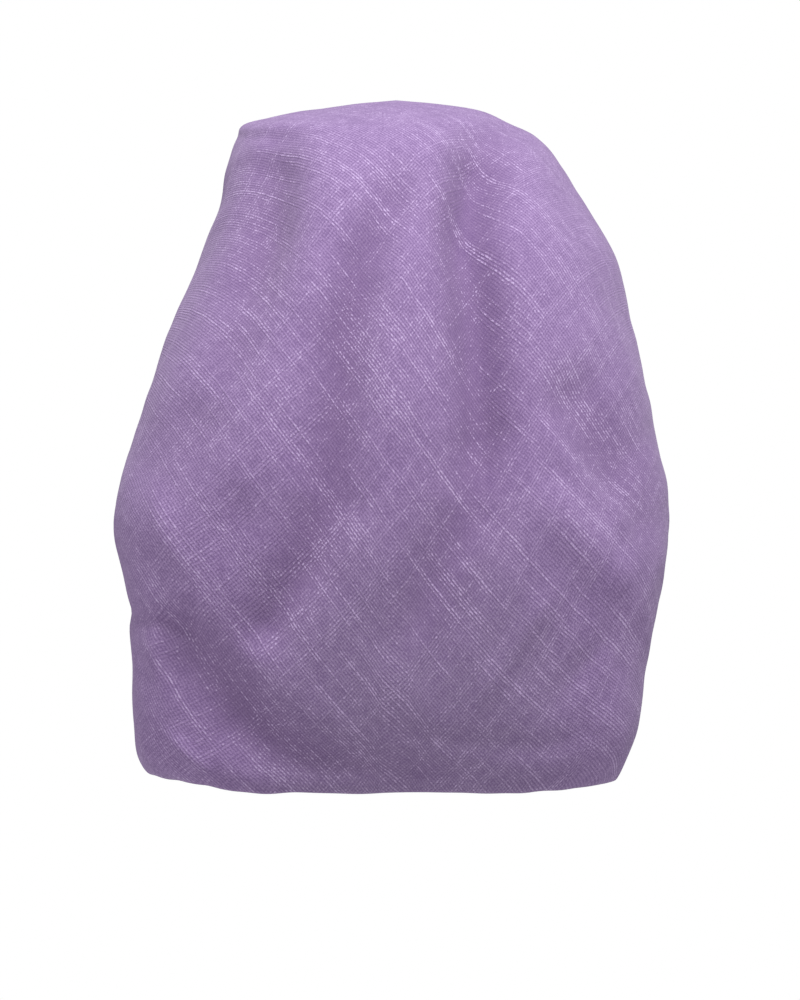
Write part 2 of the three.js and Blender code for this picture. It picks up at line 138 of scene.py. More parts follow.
FOLDS = fold_lines(
    {
        "left_valley": (
            (-0.42, 0.115, 0.036, 0.0), (-0.434, 0.16, 0.046, 0.25), (-0.455, 0.21, 0.05, 0.5),
            (-0.483, 0.273, 0.052, 0.6), (-0.56, 0.381, 0.048, 0.3), (-0.634, 0.458, 0.045, 0.0),
        ),
        "middle_valley": (
            (0.04, 0.17, 0.036, 0.0), (-0.02, 0.242, 0.04, 0.4), (-0.126, 0.299, 0.042, 0.6),
            (-0.186, 0.372, 0.046, 0.65), (-0.22, 0.467, 0.046, 0.55), (-0.235, 0.531, 0.046, 0.5),
            (-0.32, 0.586, 0.044, 0.5), (-0.44, 0.638, 0.038, 0.4), (-0.53, 0.677, 0.036, 0.0),
        ),
        "right_valley": (
            (0.315, 0.1, 0.04, 0.0), (0.31, 0.15, 0.045, 0.5), (0.308, 0.2, 0.05, 0.9),
            (0.262, 0.273, 0.05, 1.0), (0.298, 0.351, 0.05, 0.95), (0.315, 0.467, 0.048, 0.8),
            (0.27, 0.54, 0.05, 0.4), (0.119, 0.621, 0.055, 0.3), (0.014, 0.702, 0.055, 0.0),
        ),
        "right_flank_valley": (
            (0.55, 0.403, 0.04, 0.0), (0.637, 0.447, 0.055, 0.35), (0.79, 0.5, 0.06, 0.5),
            (0.896, 0.551, 0.05, 0.35), (0.95, 0.583, 0.036, 0.0),
        ),
        "right_flank_ridge": (
            (0.46, 0.508, 0.034, 0.0), (0.574, 0.547, 0.042, -0.18), (0.756, 0.595, 0.042, -0.15),
            (0.86, 0.626, 0.034, 0.0),
        ),
        "left_flank_valley": (
            (-0.6, 0.449, 0.036, 0.0), (-0.72, 0.465, 0.05, 0.18), (-0.84, 0.509, 0.05, 0.18),
            (-0.92, 0.54, 0.036, 0.0),
        ),
        "left_knuckle": (
            (-0.63, 0.574, 0.036, 0.0), (-0.56, 0.551, 0.048, 0.14), (-0.46, 0.547, 0.046, 0.1),
            (-0.39, 0.559, 0.034, 0.0),
        ),
        "low_left_notch": (
            (-0.95, 0.639, 0.018, 0.12), (-0.756, 0.645, 0.024, 0.25), (-0.64, 0.64, 0.022, 0.0),
        ),
        "low_swag": (
            (-0.82, 0.658, 0.034, 0.0), (-0.7, 0.676, 0.05, 0.4), (-0.563, 0.721, 0.05, 0.5),
            (-0.336, 0.759, 0.04, 0.35), (0.014, 0.776, 0.032, 0.15), (0.434, 0.78, 0.03, 0.0),
        ),
        "low_left_crease": (
            (-0.83, 0.736, 0.013, 0.0), (-0.74, 0.759, 0.015, -0.15), (-0.63, 0.786, 0.013, 0.0),
        ),
    }
)

# Soft creases too shallow for the part: the slanting drags below the deep folds and round the right flank.
CREASES = fold_lines(
    {
        "drag_one": (
            (0.36, 0.545, 0.016, 0.0), (0.22, 0.6, 0.018, -0.12), (0.08, 0.66, 0.018, -0.1),
            (-0.03, 0.705, 0.016, 0.0),
        ),
        "drag_two": (
            (0.6, 0.59, 0.016, 0.0), (0.48, 0.635, 0.018, -0.12), (0.34, 0.69, 0.018, -0.1),
            (0.26, 0.725, 0.016, 0.0),
        ),
        "drag_three": (
            (0.82, 0.64, 0.016, 0.0), (0.66, 0.68, 0.018, 0.1), (0.5, 0.73, 0.018, 0.0),
        ),
        "flank_pull": (
            (0.44, 0.43, 0.014, 0.0), (0.58, 0.49, 0.016, -0.1), (0.78, 0.545, 0.016, -0.12),
            (0.93, 0.6, 0.014, 0.0),
        ),
        "left_pull": (
            (-0.9, 0.5, 0.016, 0.0), (-0.8, 0.57, 0.018, -0.1), (-0.62, 0.62, 0.016, 0.0),
        ),
        "left_strip": (
            (-0.86, 0.6, 0.012, 0.0), (-0.86, 0.665, 0.014, -0.16), (-0.8, 0.735, 0.012, 0.0),
        ),
        "hem_pull": (
            (-0.2, 0.72, 0.02, 0.0), (0.15, 0.745, 0.02, 0.08), (0.5, 0.752, 0.018, 0.08),
            (0.78, 0.735, 0.016, 0.0),
        ),
    }
)


def soft_noise(x: Array, y: Array, size: float, seed: int) -> Array:
    """Smooth seeded noise over a plane.

    Args:
        x: First coordinate, in millimetres.
        y: Second coordinate, in millimetres.
        size: Millimetres from one swell to the next.
        seed: The number that the noise grows from.

    Returns:
        About -1 to 1 for each pair.
    """
    made = np.random.default_rng(seed)
    total = np.zeros_like(x)
    for _ in range(9):
        turn, phase = made.uniform(0, 2 * math.pi, 2)
        wave = 2 * math.pi / (size * made.uniform(0.75, 1.5))
        total += np.sin((x * math.cos(turn) + y * math.sin(turn)) * wave + phase)
    return total / 4.0


def smooth_weights(knots: Array, at: Array) -> Array:
    """How values at knots carry over to places between them.

    Args:
        knots: Rising places where values are known.
        at: Rising places where values are wanted.

    Returns:
        A matrix with a row for each place and a column for each knot, on smooth cubic curves.
    """
    i = np.clip(np.searchsorted(knots, at) - 1, 0, len(knots) - 2)
    span = knots[i + 1] - knots[i]
    s = (at - knots[i]) / span
    rows = np.arange(len(at))
    made = np.zeros((len(at), len(knots)))
    np.add.at(made, (rows, i), (1 + 2 * s) * (1 - s) ** 2)
    np.add.at(made, (rows, i + 1), s * s * (3 - 2 * s))
    for j, factor in ((i, span * s * (1 - s) ** 2), (i + 1, span * s * s * (s - 1))):
        low, high = np.maximum(j - 1, 0), np.minimum(j + 1, len(knots) - 1)
        slope = factor / (knots[high] - knots[low])
        np.add.at(made, (rows, high), slope)
        np.add.at(made, (rows, low), -slope)
    return made


def ring_turns(around: int) -> Array:
    """Radians of evenly spaced places round a ring."""
    return np.arange(around) / around * 2 * math.pi


def soft_oblong(turn: Array) -> tuple[Array, Array]:
    """Shares of half the width and half the thickness round folded cloth, turning the way that faces out."""
    cos, sin = np.cos(turn), np.sin(turn)
    return -np.sign(cos) * np.abs(cos) ** 0.35, np.sign(sin) * np.abs(sin) ** 0.6


def tube_faces(rings: int, around: int, capped: bool = True) -> list[Face]:
    """Faces of a tube.

    Args:
        rings: How many rings of points it has.
        around: How many points each ring has.
        capped: Whether its two ends are closed.

    Returns:
        The faces from ring to ring, and then the first and the last end.
    """
    ring = [(j, (j + 1) % around) for j in range(around)]
    steps = range(0, (rings - 1) * around, around)
    made: list[Face] = [(i + a, i + b, i + b + around, i + a + around) for i in steps for a, b in ring]
    if capped:
        end = (rings - 1) * around
        made += [tuple(reversed(range(around))), tuple(range(end, end + around))]
    return made


def linked(name: str, data: bpy.types.ID) -> Object:
    """Puts a new object in the scene.

    Args:
        name: Its name.
        data: Its mesh, light or camera.

    Returns:
        The object, at the origin.
    """
    made = bpy.data.objects.new(name, data)
    bpy.context.scene.collection.objects.link(made)
    return made


@dataclass(frozen=True)
class HeadLine:
    """The line round the head that the band follows, and the places beside it."""

    half_width: float = 79.0
    to_front: float = 98.0
    to_nape: float = 80.0
    drop_front: float = 72.0
    drop_nape: float = 178.0
    band_width: float = 26.0
    lean: float = 4.0

    @property
    def reach(self) -> float:
        """Half the head's length from forehead to nape."""
        return (self.to_front + self.to_nape) / 2

    def top(self, turn: Array) -> Array:
        """The band's top edge.

        Args:
            turn: Degrees round the head from the nape, 180 at the forehead.

        Returns:
            A place for each turn, in the last axis.
        """
        t = np.radians(turn)
        to_nape = ((1 + np.cos(t)) / 2) ** 1.5
        y = self.to_front - self.reach - self.reach * np.cos(t)
        z = -mix(self.drop_front, self.drop_nape, to_nape)
        return np.stack([self.half_width * np.sin(t), y, z], axis=-1)

    def outward(self, turn: Array) -> Array:
        """The level way out of the head.

        Args:
            turn: Degrees round the head from the nape.

        Returns:
            A way for each turn, one long.
        """
        t = np.radians(turn)
        x, y = self.reach * np.sin(t), -self.half_width * np.cos(t)
        return unit(np.stack([x, y, np.zeros_like(t)], axis=-1))

    def place(self, turn: Array, down: float | Array, out: float | Array) -> Array:
        """Places beside the band's middle surface.

        Args:
            turn: Degrees round the head from the nape.
            down: Millimetres below the band's top edge.
            out: Millimetres out from the band's middle surface.

        Returns:
            A place for each turn, in the last axis.
        """
        turn, down, out = np.broadcast_arrays(np.asarray(turn, float), down, out)
        lean = -self.lean * np.cos(np.radians(turn)) * down / self.band_width
        made = self.top(turn) + self.outward(turn) * (out + lean)[..., None]
        made[..., 2] -= down
        return made


@dataclass(frozen=True)
class WornShape:
    """The outside of the main panel as it is worn: smooth over the head, hanging full behind it."""

    head: HeadLine = HeadLine()
    height: float = 246.0
    left_reach: float = 101.5
    right_reach: float = 100.0
    back_reach: float = 131.0
    wall: float = 1.6
    length: float = 390.0
    fold_depth: float = 11.0
    corner_lift: float = 3.0
    skull_height: float = 106.0
    seam_gap: float = 0.35
    seam_lift: float = 1.5
    seam_rise: float = 5.0
    seam_reach: float = 8.0
    hang_clear: float = 11.0
    return_clear: float = 4.5
    front_speed: float = 0.5
    hang_from: float = 88.0
    hang_to: tuple[float, float] = (176.0, 134.0)
    fold_fade: tuple[float, float] = (88.0, 112.0)
    turn_under: tuple[float, float] = (0.77, 0.82)
    draw_share: float = 0.85
    drawing: tuple[float, float] = (0.72, 0.93)
    returning: tuple[float, float] = (0.76, 0.87)

    def section(self, along: Array) -> dict[str, Array]:
        """The plan section at places along the cloth.

        Args:
            along: Shares of the cloth's length.

        Returns:
            Each column of the table of sections, on a smooth curve through its rows.
        """
        table = np.array(BACK_SECTIONS)
        made = smooth_weights(table[:, 0], along.ravel()) @ table[:, 1:]
        made = made.reshape(*along.shape, -1)
        return {name: made[..., k] for k, name in enumerate(SectionRow._fields[1:])}

    def hang_share(self, angle: Array, along: float | Array) -> Array:
        """1 where a column of cloth hangs full, 0 where it lies on the head."""
        return 1 - ease(self.hang_from, mix(*self.hang_to, ease(0.05, 0.5, along)), np.abs(angle))

    def seam_turn(self, angle: Array) -> Array:
        """Where on the band the column at an angle ends, in degrees from the nape."""
        return angle - 40 * np.sin(np.radians(angle))

    def seam_place(self, angle: Array) -> Array:
        """Where the cloth's outside meets the band."""
        out = mix(self.wall / 2, -self.wall / 2, self.hang_share(angle, 1.0))
        return self.head.place(self.seam_turn(angle), -self.seam_gap - self.seam_lift, out)

    def on_head(self, angle: Array, along: Array) -> Array:
        """Cloth that lies on the head, from the crown's middle to the band.

        Args:
            angle: Degrees round the crown, 0 at the middle of the back.
            along: Shares of the cloth's length.

        Returns:
            A place for each pair, in the last axis.
        """
        seam = self.seam_place(angle)
        arc = np.arccos(1 + seam[..., 2] / self.skull_height)
        share = along**self.front_speed
        out = np.sin(arc * share) / np.sin(arc)
        z = -self.skull_height * (1 - np.cos(arc * share))
        return np.stack([seam[..., 0] * out, seam[..., 1] * out, z], axis=-1)

    def hanging(self, angle: Array, along: Array) -> Array:
        """Cloth that hangs full behind the head and turns under at the bottom.

        Args:
            angle: Degrees round the crown, 0 at the middle of the back.
            along: Shares of the cloth's length.

        Returns:
            A place for each pair, in the last axis.
        """
        row = self.section(along)
        sin, cos = np.sin(np.radians(angle)), np.cos(np.radians(angle))
        boxy_sin = np.sign(sin) * np.abs(sin) ** row["square"]
        boxy_cos = np.sign(cos) * np.abs(cos) ** row["square"]
        side = np.where(sin < 0, row["left"] * self.left_reach, row["right"] * self.right_reach)
        middle = row["middle"] * self.back_reach
        depth = (row["back"] + row["middle"]) * self.back_reach
        corner = self.corner_lift * mix(1.0, 0.2, ease(0.0, 0.4, boxy_sin))
        lift = corner * ease(0.68, 1, np.abs(boxy_sin)) * ease(0.66, 0.78, along)
        x, y = side * boxy_sin, middle - depth * boxy_cos
        return np.stack([x, y, lift - row["drop"] * self.height], axis=-1)

    def loose(self, angle: Array, along: Array) -> Array:
        """The cloth with the head and its band in the way.

        Args:
            angle: Degrees round the crown, 0 at the middle of the back.
            along: Shares of the cloth's length.

        Returns:
            Places that keep clear of the band beside it and are drawn together towards the seam below it.
        """
        head = self.head
        hang = self.hang_share(angle, along)
        place = mix(self.on_head(angle, along), self.hanging(angle, along), hang[..., None])
        across = place[..., 0] / head.half_width
        back = (head.to_front - head.reach - place[..., 1]) / head.reach
        turn = np.degrees(np.arctan2(across, back))
        below = head.top(turn)[..., 2] - place[..., 2]
        drawing = self.draw_share * ease(*self.drawing, along) * ease(-10, 10, below)
        drawn = mix(turn, self.seam_turn(angle), drawing)
        wanted = mix(self.hang_clear, self.return_clear, ease(*self.returning, along)) * ease(0, 0.2, hang)
        clear = wanted * ease(-14, 0, head.top(drawn)[..., 2] - place[..., 2])
        out = np.maximum(np.hypot(across, back), np.where(clear > 0, 1 + clear / head.half_width, 0))
        x = out * head.half_width * np.sin(np.radians(drawn))
        y = head.to_front - head.reach - out * head.reach * np.cos(np.radians(drawn))
        return np.stack([x, y, place[..., 2]], axis=-1)

    def plain(self, angle: Array, along: Array) -> Array:
        """The outside of the panel before its folds.

        Args:
            angle: Degrees round the crown, 0 at the middle of the back.
            along: Shares of the cloth's length.

        Returns:
            A place for each pair, in the last axis.
        """
        angle, along = np.broadcast_arrays(np.asarray(angle, float), np.asarray(along, float))
        last = BACK_SECTIONS[-1].along
        start = self.loose(angle, np.minimum(along, last))
        s = np.clip((along - last) / (1 - last), 0, 1)[..., None]
        seam = self.seam_place(angle)
        hang = self.hang_share(angle, 1.0)
        rise, reach = mix(1, self.seam_rise, hang), mix(2, self.seam_reach, hang)
        over = self.head.place(self.seam_turn(angle), -rise, reach)
        control = mix(mix(start, seam, 0.5), over, ease(0, 0.25, hang)[..., None])
        return start * (1 - s) ** 2 + control * 2 * s * (1 - s) + seam * s * s

    def outward(self, angle: Array, along: Array) -> Array:
        """The way out of the plain surface.

        Args:
            angle: Degrees round the crown, 0 at the middle of the back.
            along: Shares of the cloth's length.

        Returns:
            A way for each pair, one long.
        """
        above, below = np.maximum(0, along - 0.004), np.minimum(1, along + 0.004)
        across = self.plain(angle + 0.5, along) - self.plain(angle - 0.5, along)
        down = self.plain(angle, below) - self.plain(angle, above)
        return unit(np.cross(down, across))

    def pressed(self, folds: dict[str, tuple[FoldPoint, ...]], x: Array, along: Array) -> Array:
        """How deep folds press into the plain surface.

        Args:
            folds: The folds' points, each fold's in its own order.
            x: Millimetres to the side of the middle.
            along: Shares of the cloth's length.

        Returns:
            Millimetres, less than 0 on a ridge.
        """
        total = np.zeros_like(x)
        for line in folds.values():
            deepest = np.zeros_like(x)
            for p, q in zip(line, line[1:]):
                dx, dv = (q.across - p.across) * self.right_reach, (q.along - p.along) * self.length
                px, pv = x - p.across * self.right_reach, (along - p.along) * self.length
                share = np.clip((px * dx + pv * dv) / (dx * dx + dv * dv), 0, 1)
                width = mix(p.width, q.width, share) * self.height
                apart = np.hypot(px - share * dx, pv - share * dv) / width
                depth = mix(p.depth, q.depth, ease(0, 1, share)) * np.exp(-apart * apart)
                deepest = np.where(np.abs(depth) > np.abs(deepest), depth, deepest)
            total += deepest * self.fold_depth
        return total

    def foldable(self, angle: Array, along: Array) -> Array:
        """1 where folds may press, 0 on the head and where the cloth has turned under."""
        return (1 - ease(*self.turn_under, along)) * (1 - ease(*self.fold_fade, np.abs(angle)))


@dataclass(frozen=True)
class ClothGrid:
    """Columns round the crown and rows down the cloth, with one shared point at the crown."""

    back_columns: int
    front_columns: int
    rows: int
    turn: float = 112.0

    @property
    def around(self) -> int:
        """How many columns there are."""
        return self.back_columns + self.front_columns

    def angles(self) -> Array:
        """Where the columns are.

        Returns:
            Degrees from the middle of the back, rising, close together on the back.
        """
        half = self.front_columns // 2
        side = (180 - self.turn) * np.arange(half) / half
        back = np.linspace(-self.turn, self.turn, self.back_columns + 1)
        front = self.turn + (180 - self.turn) * np.arange(1, half + 1) / half
        return np.concatenate([-180 + side[1:], back, front])

    def alongs(self) -> Array:
        """Where the rows are.

        Returns:
            Shares of the cloth's length, from the first row out of the crown to the seam.
        """
        share = np.arange(1, self.rows + 1) / self.rows
        upper = 0.02 + 0.68 * (share - 1 / self.rows) / (0.64 - 1 / self.rows)
        under = 0.7 + 0.2 * (share - 0.64) / 0.24
        last = 0.9 + 0.1 * (share - 0.88) / 0.12
        return np.where(share < 0.64, upper, np.where(share < 0.88, under, last))

    def faces(self) -> list[Face]:
        """Faces of the outside surface.

        Returns:
            The faces round the crown's point first, and then row by row.
        """
        n = self.around
        column = np.arange(n)
        following = (column + 1) % n
        made = [(0, 1 + a, 1 + b) for a, b in zip(column, following)]
        for row in range(self.rows - 1):
            a = 1 + row * n
            made += zip(a + column, a + n + column, a + n + following, a + following)
        return made


@dataclass(frozen=True)
class FlatCut:
    """Lays the worn cloth out flat again, so that its yarns keep their true directions and spacing.

    Bias-cut cloth that hangs from the head draws in and grows longer: draw_in has places along the
    cloth, and how narrow it is there as a share of its flat width.
    """

    shape: WornShape
    grid: ClothGrid = ClothGrid(64, 24, 40)
    rounds: int = 40
    hidden_weight: float = 0.05
    draw_in: tuple[tuple[float, ...], ...] = (
        (0.0, 0.15, 0.24, 0.33, 0.6, 0.68, 0.75, 0.8, 1.0),
        (1.0, 1.0, 0.89, 0.85, 0.85, 0.89, 0.98, 1.0, 1.0),
    )

    def narrowing(self, angle: Array, along: Array) -> Array:
        """How narrow the hanging cloth is, as a share of its flat width.

        Args:
            angle: Degrees round the crown, 0 at the middle of the back.
            along: Shares of the cloth's length.

        Returns:
            1 where it is as wide as its flat width.
        """
        middle = np.interp(along, *self.draw_in)
        return mix(middle, 1.0, ease(25, 80, np.abs(angle)))

    def coarse(self) -> Array:
        """Flat places of the coarse grid's points, the crown first.

        Returns:
            Millimetres to the right and up from the crown, for each point.
        """
        angles, alongs = self.grid.angles(), self.grid.alongs()
        angle, along = np.meshgrid(angles, alongs)
        shape = self.shape
        points = np.concatenate([[shape.plain(0, 0)], shape.plain(angle, along).reshape(-1, 3)])
        far = np.stack([np.sin(np.radians(angle)), -np.cos(np.radians(angle))], axis=-1)
        flat = np.concatenate([[[0, 0]], (far * (along * shape.length)[..., None]).reshape(-1, 2)])
        tri = np.array([(f[0], f[i], f[i + 1]) for f in self.grid.faces() for i in range(1, len(f) - 1)])
        turns = np.concatenate([[0], angle.ravel()])[tri]
        share = np.concatenate([[0], along.ravel()])[tri]
        far_apart = turns.max(axis=1) - turns.min(axis=1) > 180
        middle = np.where(far_apart, 180, turns.mean(axis=1))
        narrow = self.narrowing(middle, share.mean(axis=1))
        seen = (1 - ease(85, 110, np.abs(middle))) * (1 - ease(0.8, 0.86, share.mean(axis=1)))
        seen = np.maximum(seen, 1 - ease(0.1, 0.2, share.mean(axis=1)))
        stretch = np.stack([1 / narrow, 1 / np.sqrt(2 - narrow**2)], axis=-1)
        return self.relax(points, tri, flat, stretch, mix(self.hidden_weight, 1, seen))

    def relax(self, points: Array, tri: Array, flat: Array, stretch: Array, weight: Array) -> Array:
        """Turns each triangle flat on its own, then fits them together, and so on until they agree.

        Args:
            points: The worn places.
            tri: Three point numbers for each triangle, turning left as seen from outside.
            flat: A first layout.
            stretch: For each triangle, how much wider and longer it lies than it hangs.
            weight: How much each triangle counts.

        Returns:
            The flat place of each point.
        """
        edge, other = points[tri[:, 1]] - points[tri[:, 0]], points[tri[:, 2]] - points[tri[:, 0]]
        along = np.linalg.norm(edge, axis=1)
        x = (other * edge).sum(axis=1) / along
        y = np.sqrt(np.maximum((other**2).sum(axis=1) - x * x, 1e-6))
        inverse = np.zeros((len(tri), 2, 2))
        inverse[:, 0, 0], inverse[:, 0, 1], inverse[:, 1, 1] = 1 / along, -x / (along * y), 1 / y
        slope = np.array([[-1.0, -1.0], [1.0, 0.0], [0.0, 1.0]]) @ inverse
        size = weight * along * y / 2
        system = np.zeros((len(points), len(points)))
        pull = size[:, None, None] * (slope @ slope.transpose(0, 2, 1))
        np.add.at(system, (tri[:, :, None], tri[:, None, :]), pull)
        solve = np.linalg.inv(system[1:, 1:])
        for _ in range(self.rounds):
            lies = stretch[:, :, None] * np.einsum("tvc,tvd->tcd", flat[tri], slope)
            turn = np.arctan2(lies[:, 1, 0] - lies[:, 0, 1], lies[:, 0, 0] + lies[:, 1, 1])
            sin, cos = np.sin(turn), np.cos(turn)
            turned = np.stack([np.stack([cos, -sin], axis=-1), np.stack([sin, cos], axis=-1)], axis=1)
            wanted = stretch[:, :, None] * turned
            side = np.zeros_like(flat)
            np.add.at(side, tri, size[:, None, None] * np.einsum("tvd,tcd->tvc", slope, wanted))
            flat = flat.copy()
            flat[1:] = solve @ side[1:]
        return flat - flat[0]

    def spread(self, grid: ClothGrid) -> Array:
        """Flat places of a finer grid's points.

        Args:
            grid: The finer grid.

        Returns:
            Millimetres to the right and up from the crown, for the crown and each of the grid's points.
        """
        own = self.coarse()
        table = own[1:].reshape(self.grid.rows, self.grid.around, 2)
        table = np.concatenate([np.zeros((1, self.grid.around, 2)), table])
        turned = np.concatenate([table[:, -3:], table, table[:, :3]], axis=1)
        angles = self.grid.angles()
        wide = np.concatenate([angles[-3:] - 360, angles, angles[:3] + 360])
        down = smooth_weights(np.concatenate([[0], self.grid.alongs()]), grid.alongs())
        across = smooth_weights(wide, grid.angles())
        fine = np.einsum("ij,jkc,lk->ilc", down, turned, across, optimize=True)
        return np.concatenate([[[0, 0]], fine.reshape(-1, 2)])


class Tree:
    """A node tree, with short calls that add nodes and feed them."""

    def __init__(self, tree: bpy.types.NodeTree) -> None:
        """Works on that tree."""
        self.tree = tree

    def node(self, kind: str, feeds: Feeds | None = None, **settings: object) -> bpy.types.Node:
        """Adds a node.

        Args:
            kind: The node's type.
            feeds: What its inputs are given, by name or number: sockets to link or plain values.
            settings: Its own settings, which are set first.

        Returns:
            The node.
        """
        made = self.tree.nodes.new(kind)
        for name, value in settings.items():
            setattr(made, name, value)
        self.feed(made, feeds or {})
        return made

    def feed(self, node: bpy.types.Node, feeds: Feeds) -> None:
        """Links a node's inputs to sockets, or sets plain values on them.

        Args:
            node: The node.
            feeds: What its inputs are given, by name or number.
        """
        for key, value in feeds.items():
            if isinstance(value, Socket):
                self.tree.links.new(value, node.inputs[key])
            else:
                node.inputs[key].default_value = value

    def sum(self, operation: str, *values: object, clamp: bool = False) -> Socket:
        """One step of arithmetic on sockets or numbers, kept from 0 to 1 where it is clamped."""
        made = self.node("ShaderNodeMath", dict(enumerate(values)), operation=operation, use_clamp=clamp)
        return made.outputs[0]


class Shader(Tree):
    """A material's node tree, with short calls for the nodes that cloth needs."""

    def __init__(self, name: str) -> None:
        """Starts a material with only its surface shader and output.

        Args:
            name: The material's name.
        """
        self.material = bpy.data.materials.new(name)
        self.material.use_nodes = True
        super().__init__(self.material.node_tree)
        self.surface = self.tree.nodes["Principled BSDF"]

    def blend(self, share: object, a: object, b: object) -> Socket:
        """The number that lies a share of the way from a to b."""
        return self.node("ShaderNodeMix", {0: share, 2: a, 3: b}, data_type="FLOAT").outputs[0]

    def tint(self, share: object, a: object, b: object) -> Socket:
        """The colour that lies a share of the way from a to b."""
        return self.node("ShaderNodeMix", {0: share, 6: a, 7: b}, data_type="RGBA").outputs[2]

    def span(self, value: object, low: float, high: float) -> Socket:
        """A smooth step of a value from 0, at low, to 1, at high."""
        feeds = {0: value, 1: low, 2: high}
        return self.node("ShaderNodeMapRange", feeds, interpolation_type="SMOOTHSTEP").outputs[0]

    def noise(self, place: Socket, scale: float, detail: float = 0.0) -> Socket:
        """Noise of about 0 to 1 at a place."""
        feeds = {"Vector": place, "Scale": scale, "Detail": detail}
        return self.node("ShaderNodeTexNoise", feeds).outputs["Fac"]

    def vector(self, *numbers: object) -> Socket:
        """A vector of three numbers."""
        return self.node("ShaderNodeCombineXYZ", dict(enumerate(numbers))).outputs[0]

    def parts(self, vector: Socket) -> bpy.types.bpy_prop_collection:
        """The three numbers of a vector."""
        return self.node("ShaderNodeSeparateXYZ", {0: vector}).outputs

    def object_place(self) -> Socket:
        """Where the point lies in the object's own frame, in metres."""
        return self.node("ShaderNodeTexCoord").outputs["Object"]


class ClothArea(Enum):
    """Which part of the wrap a finish is for."""

    PANEL = "panel"
    BAND = "band"
    CASING = "casing"
    TIE = "tie"


class Mottle(NamedTuple):
    """One size of the cloth's unevenness: its noise per millimetre, and what that adds to the shade."""

    scale: float
    detail: float
    gain: float
    base: float


